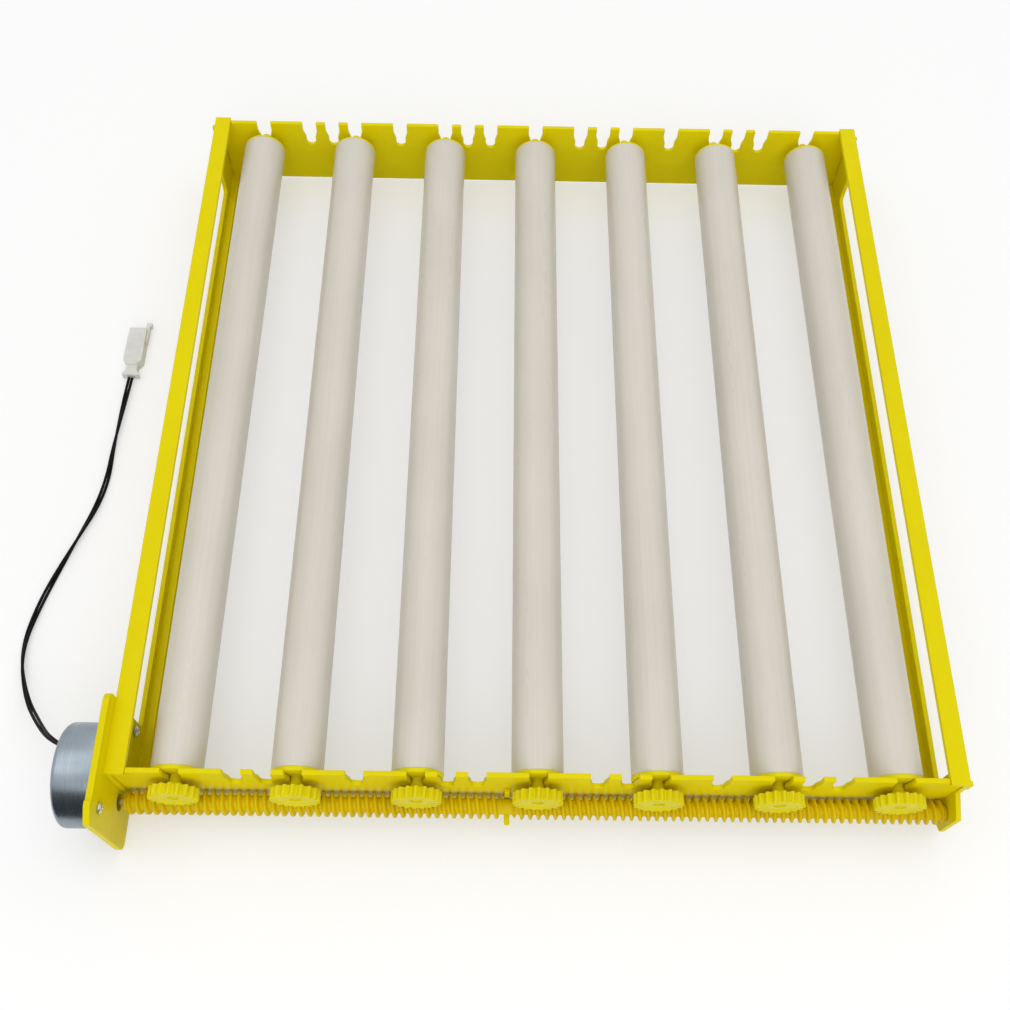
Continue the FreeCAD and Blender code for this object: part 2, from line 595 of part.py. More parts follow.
def worm_right(stock):
    """Right sleeve."""
    bore = rod_x(WORM_Y, WORM_Z, WORM_CORE_RADIUS, JOURNAL_RIGHT - EXTRA, WORM_RIGHT + EXTRA)
    return threaded_rod(stock, JOURNAL_RIGHT, WORM_RIGHT).cut(bore)


def worm_core():
    """Steel rod through both sleeves; its right end runs in the side ear."""
    return rod_x(WORM_Y, WORM_Z, WORM_CORE_RADIUS, WORM_LEFT + SHAFT_ENTRY, RIGHT_OUT)


# ---------------------------------------------------------------- motor
def ear_hole(angle):
    """(y, z) of a motor ear's hole."""
    turn = math.radians(angle)
    return MOTOR_Y + EAR_HOLE_CIRCLE * math.cos(turn), MOTOR_Z + EAR_HOLE_CIRCLE * math.sin(turn)


def motor_bracket():
    """Plate that carries the motor, screwed through the left web."""
    front = RAIL_FRONT - BRACKET_FRONT
    rear = RAIL_FRONT + BRACKET_REAR
    slope = front + BRACKET_SLOPE_LENGTH
    top = BRACKET_HEIGHT
    corners = [(front, 0, BRACKET_RADIUS), (rear, 0, 1.0), (rear, top, BRACKET_RADIUS),
               (slope + BRACKET_STEP_LENGTH, top, 0),
               (slope + BRACKET_STEP_LENGTH, top + BRACKET_STEP, 0),
               (slope, top + BRACKET_STEP, 0), (front, top - BRACKET_SLOPE_DROP, 1.5)]
    body = plate_x(corners, BRACKET_OUT, BRACKET_IN)
    holes = [rod_x(WORM_Y, WORM_Z, SHAFT_HOLE_RADIUS, BRACKET_OUT - EXTRA, BRACKET_IN + EXTRA)]
    for angle in EAR_ANGLES:
        y, z = ear_hole(angle)
        holes.append(rod_x(y, z, SCREW_RADIUS, BRACKET_OUT - EXTRA, BRACKET_IN + EXTRA))
    holes += tab_slots(BRACKET_OUT, 1, BRACKET_THICKNESS)[:len(tab_heights())]
    return cut_all(body, holes)


def motor_flange():
    """Front plate of the motor, with an ear at each screw."""
    x0, x1 = TRAIN_START, BRACKET_OUT
    ears = []
    for angle in EAR_ANGLES:
        y, z = ear_hole(angle)
        pad = rod_x(y, z, EAR_RADIUS, x0, x1)
        side = box(x0, x1, -EAR_HOLE_CIRCLE, 0, -EAR_RADIUS, EAR_RADIUS)
        side.rotate(Vector(0, 0, 0), Vector(1, 0, 0), angle + 180)
        side.translate(Vector(0, MOTOR_Y, MOTOR_Z))
        ears += [pad, side]
    body = join([rod_x(MOTOR_Y, MOTOR_Z, MOTOR_RADIUS, x0, x1)] + ears)
    holes = [rod_x(WORM_Y, WORM_Z, BUSH_RADIUS, x0 - EXTRA, x1 + EXTRA)]
    for angle in EAR_ANGLES:
        y, z = ear_hole(angle)
        holes.append(rod_x(y, z, SCREW_RADIUS, x0 - EXTRA, x1 + EXTRA))
    return cut_all(body, holes)


def grommet_place():
    """(y, z) of the grommet on the motor's end face."""
    return MOTOR_Y + GROMMET_SETBACK, MOTOR_Z + GROMMET_RISE


def motor_can():
    """Drawn cup with a rounded closed end."""
    outer = rod_x(MOTOR_Y, MOTOR_Z, MOTOR_RADIUS, MOTOR_END, TRAIN_START)
    rim = [edge for edge in outer.Edges
           if edge.BoundBox.XMax < MOTOR_END + 0.01 and edge.BoundBox.ZLength > MOTOR_RADIUS]
    outer = outer.makeFillet(MOTOR_CAN_FILLET, rim)
    inner = rod_x(MOTOR_Y, MOTOR_Z, MOTOR_RADIUS - MOTOR_WALL, MOTOR_END + MOTOR_WALL, TRAIN_START + EXTRA)
    rim = [edge for edge in inner.Edges
           if edge.BoundBox.XMax < MOTOR_END + MOTOR_WALL + 0.01 and edge.BoundBox.ZLength > MOTOR_RADIUS]
    inner = inner.makeFillet(MOTOR_CAN_FILLET - MOTOR_WALL, rim)
    y, z = grommet_place()
    hole = rod_x(y, z, GROMMET_NECK_RADIUS, MOTOR_END - EXTRA, MOTOR_END + MOTOR_WALL + EXTRA)
    return cut_all(outer, [inner, hole])


def motor_grommet():
    """Moulded grommet that the lead comes out of."""
    y, z = grommet_place()
    inside = MOTOR_END + MOTOR_WALL
    return turned_x(y, z, [(MOTOR_END - GROMMET_PROUD, 0), (MOTOR_END - GROMMET_PROUD, GROMMET_NECK_RADIUS),
                           (MOTOR_END, GROMMET_RADIUS), (MOTOR_END, GROMMET_NECK_RADIUS),
                           (inside, GROMMET_NECK_RADIUS), (inside, GROMMET_RADIUS),
                           (inside + GROMMET_BACK, GROMMET_RADIUS), (inside + GROMMET_BACK, 0)])


def motor_screws():
    """Two pan-head screws, one on the bracket and one on the left web."""
    screws = []
    for angle, seat in zip(EAR_ANGLES, (BRACKET_IN, LEFT_IN)):
        y, z = ear_hole(angle)
        top = seat + SCREW_HEAD_HEIGHT
        screw = turned_x(y, z, [(TRAIN_START, 0), (TRAIN_START, SCREW_RADIUS), (seat, SCREW_RADIUS),
                                (seat, SCREW_HEAD_RADIUS), (top - 0.7, SCREW_HEAD_RADIUS),
                                (top, SCREW_HEAD_RADIUS - 0.9), (top, 0)])
        half = SCREW_SLOT / 2
        for reach_y, reach_z in ((1.6, half), (half, 1.6)):
            screw = screw.cut(box(top - SCREW_SLOT, top + EXTRA, y - reach_y, y + reach_y,
                                  z - reach_z, z + reach_z))
        screws.append(screw)
    return Part.makeCompound(screws)


def output_bush():
    """Brass bush in the flange, running into the bracket's hole."""
    bush = rod_x(WORM_Y, WORM_Z, BUSH_RADIUS, TRAIN_START, BRACKET_OUT + BUSH_PROUD)
    return bush.cut(rod_x(WORM_Y, WORM_Z, OUTPUT_SHAFT_RADIUS + RUNNING, TRAIN_START - EXTRA,
                          BRACKET_IN + EXTRA))


def layer_limits(layer):
    """(low x, high x) of a gear layer, counted from the flange."""
    high = TRAIN_START - TRAIN_GAP - layer * (TRAIN_LAYER + TRAIN_GAP)
    return high - TRAIN_LAYER, high


PLATE_FACE = TRAIN_START - TRAIN_GAP - 3 * (TRAIN_LAYER + TRAIN_GAP)
PLATE_BACK = PLATE_FACE - GEAR_PLATE_THICKNESS
ROTOR_FACE = PLATE_BACK - TRAIN_GAP


def train_centres():
    """Centres (y, z) of output wheel, idler a, idler b and rotor, in mesh."""
    centre_distance = (WHEEL_TEETH + PINION_TEETH) * TRAIN_MODULE / 2
    output = Vector(0, WORM_Y, WORM_Z)
    rotor = Vector(0, MOTOR_Y, MOTOR_Z)
    along = (rotor - output).normalize()
    aside = Vector(0, along.z, -along.y)
    inset = (rotor.distanceToPoint(output) - centre_distance) / 2
    rise = math.sqrt(centre_distance ** 2 - inset ** 2)
    idler_a = output + along * inset + aside * rise
    idler_b = rotor - along * inset + aside * rise
    return output, idler_a, idler_b, rotor


def direction_angle(start, end):
    """Angle from +Y towards +Z of the line between two centres."""
    return math.atan2(end.z - start.z, end.y - start.y)


def tooth_towards(teeth, angle):
    """Gap angle that puts a tooth at the given angle."""
    return angle + math.pi / teeth


def output_shaft():
    """Motor output shaft with its wheel."""
    output, idler_a, idler_b, rotor = train_centres()
    x0, x1 = layer_limits(0)
    wheel = train_gear(output.y, output.z, WHEEL_TEETH, x0, x1, direction_angle(output, idler_a))
    shaft = rod_x(output.y, output.z, OUTPUT_SHAFT_RADIUS, x0, WORM_LEFT + SHAFT_ENTRY)
    pivot = rod_x(output.y, output.z, OUTPUT_PIVOT_RADIUS, PLATE_BACK, x1)
    return join([wheel, shaft, pivot])


def idler(centre, layer, before, after):
    """Compound idler: a pinion driven from before, and a wheel meshing with after."""
    pinion_angle = tooth_towards(PINION_TEETH, direction_angle(centre, before))
    x0, x1 = layer_limits(layer)
    pinion = train_gear(centre.y, centre.z, PINION_TEETH, x0 - TRAIN_GAP, x1, pinion_angle)
    x0, x1 = layer_limits(layer + 1)
    wheel = train_gear(centre.y, centre.z, WHEEL_TEETH, x0, x1, direction_angle(centre, after))
    bore = rod_x(centre.y, centre.z, PIN_RADIUS + TRAIN_RUNNING, MOTOR_END, BRACKET_OUT)
    return join([pinion, wheel]).cut(bore)


def idler_a():
    """Idler next to the output wheel."""
    output, first, second, rotor_centre = train_centres()
    return idler(first, 0, output, second)


def idler_b():
    """Idler next to the rotor."""
    output, first, second, rotor_centre = train_centres()
    return idler(second, 1, first, rotor_centre)


def rotor():
    """Magnet rotor with its pinion, on a fixed pin."""
    output, first, second, centre = train_centres()
    x0, x1 = layer_limits(2)
    angle = tooth_towards(PINION_TEETH, direction_angle(centre, second))
    pinion = train_gear(centre.y, centre.z, PINION_TEETH, ROTOR_FACE - EXTRA, x1, angle)
    magnet = rod_x(centre.y, centre.z, ROTOR_RADIUS, ROTOR_FACE - ROTOR_LENGTH, ROTOR_FACE)
    bore = rod_x(centre.y, centre.z, PIN_RADIUS + TRAIN_RUNNING, MOTOR_END, BRACKET_OUT)
    return join([pinion, magnet]).cut(bore)


def gear_plate():
    """Middle plate between gears and coil."""
    output, first, second, centre = train_centres()
    plate = rod_x(MOTOR_Y, MOTOR_Z, MOTOR_RADIUS - MOTOR_WALL, PLATE_BACK, PLATE_FACE)
    pinion_hole = PINION_TEETH * TRAIN_MODULE / 2 + TRAIN_MODULE + TRAIN_GAP
    return cut_all(plate, [rod_x(output.y, output.z, OUTPUT_PIVOT_RADIUS + RUNNING,
                                 PLATE_BACK - EXTRA, PLATE_FACE + EXTRA),
                           rod_x(centre.y, centre.z, pinion_hole, PLATE_BACK - EXTRA, PLATE_FACE + EXTRA)])


def gear_pins():
    """Fixed pins of the idlers and the rotor."""
    output, first, second, centre = train_centres()
    pins = [rod_x(pin.y, pin.z, PIN_RADIUS, PLATE_FACE, TRAIN_START) for pin in (first, second)]
    pins.append(rod_x(centre.y, centre.z, PIN_RADIUS, MOTOR_END + MOTOR_WALL, TRAIN_START))
    return Part.makeCompound(pins)


def coil_bobbin():
    """Flanged former of the stator coil, seated on the middle plate."""
    x0 = PLATE_BACK - TRAIN_GAP - ROTOR_LENGTH
    x1 = PLATE_BACK
    floor = COIL_INNER_RADIUS + COIL_CORE_WALL
    return turned_x(MOTOR_Y, MOTOR_Z, [(x0, COIL_INNER_RADIUS), (x0, COIL_OUTER_RADIUS),
                                       (x0 + COIL_CHEEK, COIL_OUTER_RADIUS), (x0 + COIL_CHEEK, floor),
                                       (x1 - COIL_CHEEK, floor), (x1 - COIL_CHEEK, COIL_OUTER_RADIUS),
                                       (x1, COIL_OUTER_RADIUS), (x1, COIL_INNER_RADIUS)])


def coil_winding():
    """Copper winding that fills the bobbin."""
    x0 = PLATE_BACK - TRAIN_GAP - ROTOR_LENGTH + COIL_CHEEK
    x1 = PLATE_BACK - COIL_CHEEK
    floor = COIL_INNER_RADIUS + COIL_CORE_WALL
    outer = COIL_OUTER_RADIUS - COIL_CHEEK
    return turned_x(MOTOR_Y, MOTOR_Z, [(x0, floor), (x0, outer), (x1, outer), (x1, floor)])


# ---------------------------------------------------------------- lead
# Points of the lead's route from the grommet to the connector, chosen by hand:
# out of the motor's end face, down to the floor and back along the tray's left side.
LEAD_ROUTE = [(-210.0, -176.05, 33.0), (-219.5, -171.8, 31.5), (-232.0, -160.5, 17.5),
              (-247.5, -141.5, 3.6), (-255.8, -116.5, 1.75), (-252.0, -88.5, 1.75),
              (-241.5, -57.0, 1.75), (-232.8, -22.0, 1.75), (-231.6, 18.0, 1.8),
              (-225.7, 53.5, 3.2)]


def lead_path():
    """The route with an arc at each point, as wide as its runs allow."""
    points = [Vector(*p) for p in LEAD_ROUTE]
    edges = []
    start = points[0]
    for before, corner, after in zip(points, points[1:], points[2:]):
        shorter = min(before.distanceToPoint(corner), corner.distanceToPoint(after))
        turn = math.pi - (before - corner).getAngle(after - corner)
        radius = 0.45 * shorter / math.tan(turn / 2)
        first, middle, last = round_corner(before, corner, after, radius)
        print("lead arc radius", round(radius, 1), "turn", round(math.degrees(turn), 1))
        edges.append(Part.LineSegment(start, first).toShape())
        edges.append(Part.Arc(first, middle, last).toShape())
        start = last
    edges.append(Part.LineSegment(start, points[-1]).toShape())
    return Part.Wire(edges)


def lead():
    """Outer shape of the twisted pair."""
    path = lead_path()
    start = Vector(*LEAD_ROUTE[0])
    heading = Vector(*LEAD_ROUTE[1]) - start
    ring = Part.Wire(Part.makeCircle(LEAD_DIAMETER / 2, start, heading))
    tube = path.makePipeShell([ring], True, False)
    print("lead length", round(path.Length, 1), "volume ratio",
          round(tube.Volume / (math.pi * LEAD_DIAMETER ** 2 / 4 * path.Length), 4))
    return tube


def at_connector(shape):
    """Moves a shape drawn along +X from the origin to the lead's end."""
    shape.rotate(Vector(0, 0, 0), Vector(0, 0, 1), CONNECTOR_HEADING)
    end = LEAD_ROUTE[-1]
    shape.translate(Vector(end[0], end[1], 0))
    return shape


def connector_housing():
    """Two-way housing: neck round the terminals, body with two cavities, latch."""
    half = CONNECTOR_WIDTH / 2
    middle = CONNECTOR_HEIGHT / 2
    back = CONNECTOR_NECK
    end = CONNECTOR_NECK + CONNECTOR_BODY
    outline = [(Vector(back, -half + CONNECTOR_CHAMFER, 0), 0.5), (Vector(back + CONNECTOR_CHAMFER, -half, 0), 1.0),
               (Vector(end, -half + 0.4, 0), 0.5), (Vector(end, half - 0.4, 0), 0.5),
               (Vector(back + CONNECTOR_CHAMFER, half, 0), 1.0), (Vector(back, half - CONNECTOR_CHAMFER, 0), 0.5)]
    body = Part.Face(rounded_loop(outline)).extrude(Vector(0, 0, CONNECTOR_HEIGHT))
    neck_half = CONNECTOR_NECK_WIDTH / 2
    neck = box(NECK_START, back + EXTRA, -neck_half, neck_half,
               middle - CONNECTOR_NECK_HEIGHT / 2, middle + CONNECTOR_NECK_HEIGHT / 2)
    wings = []
    for side in (-1, 1):
        corners = [(NECK_START, neck_half + WING_REACH), (NECK_START + WING_THICKNESS, neck_half + WING_REACH),
                   (NECK_START + WING_LENGTH, neck_half), (NECK_START + WING_LENGTH, neck_half - EXTRA),
                   (NECK_START, neck_half - EXTRA)]
        loop = rounded_loop([(Vector(x, side * y, middle - CONNECTOR_NECK_HEIGHT / 2), 0)
                             for x, y in corners])
        wings.append(Part.Face(loop).extrude(Vector(0, 0, CONNECTOR_NECK_HEIGHT)))
    latch_side = -half - LATCH_WIDTH * 0.4
    latch = box(end - LATCH_LENGTH, end + LATCH_PROUD, latch_side, latch_side + LATCH_WIDTH,
                middle - 1.5, middle + 1.5)
    hook = box(end + LATCH_PROUD - 2.2, end + LATCH_PROUD, latch_side - 1.0, latch_side + EXTRA,
               middle - 1.5, middle + 1.5)
    housing = join([body, neck, latch, hook] + wings)
    cutters = []
    for side in (-1, 1):
        y = side * TERMINAL_SPACING / 2
        cutters.append(box(end - CAVITY_DEPTH, end + EXTRA, y - CAVITY / 2, y + CAVITY / 2,
                           middle - CAVITY / 2, middle + CAVITY / 2))
        cutters.append(rod_x(y * 0.7, middle, TERMINAL_RADIUS, 0, TERMINAL_LENGTH))
    return at_connector(cut_all(housing, cutters))


def connector_terminals():
    """The two crimped terminals, from the lead's end into the housing."""
    pins = []
    for side in (-1, 1):
        y = side * TERMINAL_SPACING / 2 * 0.7
        pins.append(rod_x(y, CONNECTOR_HEIGHT / 2, TERMINAL_RADIUS, 0, TERMINAL_LENGTH))
    return at_connector(Part.makeCompound(pins))


# ---------------------------------------------------------------- the whole
def build():
    """Every node of the object by name."""
    stock = worm_stock(max(JOURNAL_LEFT - WORM_LEFT, WORM_RIGHT - JOURNAL_RIGHT))
    nodes = {
        "left_side_frame": left_side_frame(),
        "right_side_frame": right_side_frame(),
        "front_wall": front_wall(),
        "rear_wall": rear_wall(),
        "worm_saddle": worm_saddle(),
        "worm_left": worm_left(stock),
        "worm_right": worm_right(stock),
        "worm_core": worm_core(),
        "motor_bracket": motor_bracket(),
        "motor_flange": motor_flange(),
        "motor_can": motor_can(),
        "motor_grommet": motor_grommet(),
        "motor_screws": motor_screws(),
        "output_bush": output_bush(),
        "output_shaft": output_shaft(),
        "idler_a": idler_a(),
        "idler_b": idler_b(),
        "rotor": rotor(),
        "gear_plate": gear_plate(),
        "gear_pins": gear_pins(),
        "coil_bobbin": coil_bobbin(),
        "coil_winding": coil_winding(),
        "lead": lead(),
        "connector_housing": connector_housing(),
        "connector_terminals": connector_terminals(),
    }
    for index in range(ROLLER_COUNT):
        x = FIRST_ROLLER_X + index * ROLLER_PITCH
        nodes["roller_tube_%d" % (index + 1)] = roller_tube(x)
        nodes["gear_cap_%d" % (index + 1)] = gear_cap(x)
        nodes["rear_cap_%d" % (index + 1)] = rear_cap(x)
    return nodes


os.makedirs("parts", exist_ok=True)
for name, shape in build().items():
    if not shape.isValid() or not shape.Solids:
        print("not a valid solid:", name)
    shape.exportStep("parts/" + name + ".step")
print("tray centre x", TRAY_X, "rail front", RAIL_FRONT, "worm", WORM_Y, WORM_Z)
print("train centres", [(round(c.y, 3), round(c.z, 3)) for c in train_centres()])
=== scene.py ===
"""Looks of an egg-turning roller tray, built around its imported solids.

Everything is in metres in the frame of the solids: +X along the worm, +Y along the
rollers to the rear and +Z up, with the floor at zero.
"""
import json
import logging
import math
from dataclasses import dataclass
from enum import Enum
from typing import Iterable, Optional, Sequence, Union

import bmesh
import bpy
from mathutils import Matrix, Vector


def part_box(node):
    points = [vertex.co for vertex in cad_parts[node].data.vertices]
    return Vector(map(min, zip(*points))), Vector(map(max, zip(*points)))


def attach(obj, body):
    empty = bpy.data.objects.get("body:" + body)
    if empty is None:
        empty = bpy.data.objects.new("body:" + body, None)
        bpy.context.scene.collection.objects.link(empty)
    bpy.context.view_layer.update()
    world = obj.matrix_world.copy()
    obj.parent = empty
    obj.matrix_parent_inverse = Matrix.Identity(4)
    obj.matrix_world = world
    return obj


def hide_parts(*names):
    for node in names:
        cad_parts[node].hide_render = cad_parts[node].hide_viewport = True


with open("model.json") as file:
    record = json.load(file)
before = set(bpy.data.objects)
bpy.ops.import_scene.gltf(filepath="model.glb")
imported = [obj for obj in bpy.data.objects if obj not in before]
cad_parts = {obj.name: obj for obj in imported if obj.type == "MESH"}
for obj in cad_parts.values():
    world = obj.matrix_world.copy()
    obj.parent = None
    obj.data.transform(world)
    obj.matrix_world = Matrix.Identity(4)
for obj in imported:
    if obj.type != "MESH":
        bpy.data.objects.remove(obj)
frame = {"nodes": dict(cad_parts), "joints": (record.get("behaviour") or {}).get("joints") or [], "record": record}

LOG = logging.getLogger("roller_tray")
MM = 0.001
MERGE_DISTANCE = 2e-6
SLIVER_LENGTH = 1e-6
FLAT_ANGLE = math.radians(0.6)
EDGE_ANGLE = math.radians(28)
CRISP_ANGLE = math.radians(40)
CRISP_THREAD_ANGLE = math.radians(45)
CRISP_CAN_ANGLE = math.radians(35)
EDGE_FACES = 2
FACE_WEIGHT = 60
Socket = bpy.types.NodeSocket
Value = Union[float, Socket]
Tone = tuple[int, int, int]
Spot = tuple[float, float, float]
Range = tuple[float, float]


class Axis(Enum):
    """The axis that a turned piece is made about."""

    X = "x"
    Y = "y"


def node_centre(node: str) -> Vector:
    """The centre of a solid's box."""
    low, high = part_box(node)
    return (low + high) / 2


def body_of(node: str) -> str:
    """The name of the body that a solid belongs to.

    Args:
        node: the solid's name.

    Returns:
        The body's name in the record.
    """
    for body, members in frame["record"]["behaviour"]["bodies"].items():
        if node in members:
            return body
    raise KeyError(node)


def joint_point(name: str) -> Vector:
    """A point on the axis of a joint.

    Args:
        name: the joint's name.

    Returns:
        The point that the joint is placed at.
    """
    for joint in frame["joints"]:
        if joint["name"] == name:
            return Vector(joint["pos_m"])
    raise KeyError(name)


# --------------------------------------------------------------------------- node graphs
class Graph:
    """Adds nodes to a shader or geometry tree and joins them."""

    def __init__(self, tree: bpy.types.NodeTree) -> None:
        """Keeps the tree that the nodes go into."""
        self.tree = tree

    def fill(self, node: bpy.types.Node, inputs: dict) -> None:
        """Sets or links inputs of a node.

        Args:
            node: the node.
            inputs: values or sockets, by the input's name or number.
        """
        for name, value in inputs.items():
            if isinstance(value, Socket):
                self.tree.links.new(value, node.inputs[name])
            else:
                node.inputs[name].default_value = value

    def node(self, kind: str, inputs: Optional[dict] = None, **settings: object) -> bpy.types.Node:
        """Adds one node.

        Args:
            kind: the node's type.
            inputs: values or sockets for its inputs, by name or number.
            settings: attributes of the node itself.

        Returns:
            The new node.
        """
        made = self.tree.nodes.new(kind)
        for name, value in settings.items():
            setattr(made, name, value)
        self.fill(made, inputs or {})
        return made

    def maths(self, operation: str, first: Value, second: Value = 0.0) -> Socket:
        """The result of a maths node on one or two values."""
        return self.node("ShaderNodeMath", {0: first, 1: second}, operation=operation).outputs[0]

    def plus(self, first: Value, second: Value) -> Socket:
        """The sum of two values."""
        return self.maths("ADD", first, second)

    def minus(self, first: Value, second: Value) -> Socket:
        """The first value less the second."""
        return self.maths("SUBTRACT", first, second)

    def times(self, first: Value, second: Value) -> Socket:
        """The product of two values."""
        return self.maths("MULTIPLY", first, second)

    def over(self, first: Value, second: Value) -> Socket:
        """The first value divided by the second."""
        return self.maths("DIVIDE", first, second)

    def remap(self, value: Value, low: Value, high: Value, to_low: Value = 0.0, to_high: Value = 1.0,
              smooth: bool = False) -> Socket:
        """Maps a value from one range to another.

        Args:
            value: what is mapped.
            low: start of its range.
            high: end of its range.
            to_low: result at the start.
            to_high: result at the end.
            smooth: eases in and out of both ends.

        Returns:
            The mapped value, kept inside the new range.
        """
        kind = "SMOOTHSTEP" if smooth else "LINEAR"
        made = self.node("ShaderNodeMapRange", {0: value, 1: low, 2: high, 3: to_low, 4: to_high},
                         interpolation_type=kind)
        return made.outputs[0]

    def split(self, vector: Socket) -> tuple[Socket, Socket, Socket]:
        """The three parts of a vector."""
        made = self.node("ShaderNodeSeparateXYZ", {0: vector})
        return made.outputs[0], made.outputs[1], made.outputs[2]

    def combine(self, x: Value, y: Value, z: Value) -> Socket:
        """A vector from three parts."""
        return self.node("ShaderNodeCombineXYZ", {0: x, 1: y, 2: z}).outputs[0]

    def seen_directly(self) -> Socket:
        """One for camera, mirror and see-through rays, and zero for all light that is cast.

        Returns:
            The socket with that value.
        """
        ray = self.node("ShaderNodeLightPath").outputs
        either = self.maths("MAXIMUM", ray["Is Camera Ray"], ray["Is Glossy Ray"])
        return self.maths("MAXIMUM", either, ray["Is Transmission Ray"])


@dataclass(frozen=True)
class Pattern:
    """A noise pattern on a piece, the stretch of its values that shows, and its relief."""

    scale: float
    detail: float = 2.0
    stretch: Spot = (1.0, 1.0, 1.0)
    turn: float = 0.0
    low: float = 0.3
    high: float = 0.7
    depth: float = 0.0
    strength: float = 0.0


class Shader(Graph):
    """A material's graph, with its Principled shader."""

    def __init__(self, name: str) -> None:
        """Starts an empty material with a Principled shader.

        Args:
            name: the material's name.
        """
        self.material = bpy.data.materials.new(name)
        self.material.use_nodes = True
        super().__init__(self.material.node_tree)
        self.surface = self.tree.nodes["Principled BSDF"]
        self.place = self.node("ShaderNodeTexCoord").outputs["Object"]

    def noise(self, pattern: Pattern) -> Socket:
        """The noise of a pattern.

        Args:
            pattern: its scale in cells per metre, finer octaves, stretch and turn about Z.

        Returns:
            The noise from 0 to 1.
        """
        spread = self.node("ShaderNodeMapping", {
            "Vector": self.place, "Scale": pattern.stretch, "Rotation": (0.0, 0.0, pattern.turn)})
        inputs = {"Vector": spread.outputs[0], "Scale": pattern.scale, "Detail": pattern.detail}
        return self.node("ShaderNodeTexNoise", inputs).outputs["Fac"]

    def shown(self, pattern: Pattern, to_low: float = 0.0, to_high: float = 1.0) -> Socket:
        """The part of a pattern that shows, mapped to a new range."""
        return self.remap(self.noise(pattern), pattern.low, pattern.high, to_low, to_high)

    def blend(self, amount: Socket, first: Tone, second: Tone) -> Socket:
        """A colour between two colours."""
        ends = {0: amount, 6: colour(first), 7: colour(second)}
        return self.node("ShaderNodeMix", ends, data_type="RGBA").outputs[2]

    def relief(self, height: Socket, depth: float, strength: float, under: Optional[Socket] = None) -> Socket:
        """A bump from a height.

        Args:
            height: the pattern that is raised.
            depth: its depth in metres.
            strength: how much of it shows.
            under: an earlier bump that this one lies on.

        Returns:
            The bent normal.
        """
        made = self.node("ShaderNodeBump", {"Height": height, "Strength": strength, "Distance": depth})
        if under is not None:
            self.fill(made, {"Normal": under})
        return made.outputs[0]

    def raised(self, pattern: Pattern, under: Optional[Socket] = None) -> Socket:
        """A bump from a pattern, on an earlier one if there is one."""
        return self.relief(self.noise(pattern), pattern.depth, pattern.strength, under)

    def shared(self, first: Socket, second: Socket, share: float) -> Socket:
        """A mix of two values by the first one's share."""
        return self.plus(self.times(first, share), self.times(second, 1 - share))

    def feed(self, inputs: dict[str, object]) -> None:
        """Sets or links inputs of the Principled shader."""
        self.fill(self.surface, inputs)


def colour(values: Tone) -> tuple[float, float, float, float]:
    """A linear colour with alpha from sRGB values.

    Args:
        values: red, green and blue from 0 to 255.

    Returns:
        Red, green, blue and alpha from 0 to 1.
    """
    def linear(value: int) -> float:
        """One channel from sRGB to linear."""
        share = value / 255
        return share / 12.92 if share <= 0.04045 else ((share + 0.055) / 1.055) ** 2.4
    red, green, blue = (linear(value) for value in values)
    return red, green, blue, 1.0


# --------------------------------------------------------------------------- finishes
@dataclass(frozen=True)
class Finish:
    """What every finish has: a name, the slot that it fills and two tones."""

    name: str
    slot: str
    face: Tone
    shade: Tone


@dataclass(frozen=True)
class MouldedPlastic(Finish):
    """Glossy injection-moulded plastic with flow marks and fine scuffs."""

    roughness: Range = (0.32, 0.44)
    gloss: float = 0.1
    glow: float = 0.04
    glow_reach: Spot = (1.2 * MM, 1.0 * MM, 0.2 * MM)
    bend: float = 1.5
    flow: Pattern = Pattern(24.0, 3.0, (1.0, 0.35, 1.6))
    cloud: Pattern = Pattern(96.0)
    cloud_share: float = 0.35
    tone_range: Range = (0.52, 0.86)
    long_scuffs: Pattern = Pattern(900.0, 2.0, (1.0, 0.03, 0.6), 0.6, 0.62, 0.72)
    cross_scuffs: Pattern = Pattern(1100.0, 2.0, (0.04, 1.0, 0.5), -0.35, 0.64, 0.74)
    peel: Pattern = Pattern(1400.0, depth=0.03 * MM, strength=0.35)
    sink: Pattern = Pattern(60.0, 1.0, depth=0.4 * MM, strength=0.25)

    def material(self) -> bpy.types.Material:
        """Flow marks in the tone, scuffs in the sheen, and faint sink marks under a fine peel.

        Returns:
            The material.
        """
        shader = Shader(self.name)
        cloud = shader.noise(self.cloud)
        mixed = shader.plus(shader.noise(self.flow), shader.times(cloud, self.cloud_share))
        tone = shader.remap(mixed, *self.tone_range)
        scuffs = shader.maths("MAXIMUM", shader.shown(self.long_scuffs), shader.shown(self.cross_scuffs))
        low, high = self.roughness
        haze = shader.remap(cloud, self.cloud.low, self.cloud.high, low, (low + high) / 2)
        sink = shader.raised(self.sink)
        shader.feed({
            "Base Color": shader.blend(tone, self.face, self.shade),
            "Roughness": shader.plus(haze, shader.times(scuffs, (high - low) / 2)),
            "Normal": shader.raised(self.peel, sink),
            "Specular IOR Level": self.gloss,
            "Subsurface Weight": self.glow,
            "Subsurface Radius": self.glow_reach,
            "IOR": self.bend})
        return shader.material


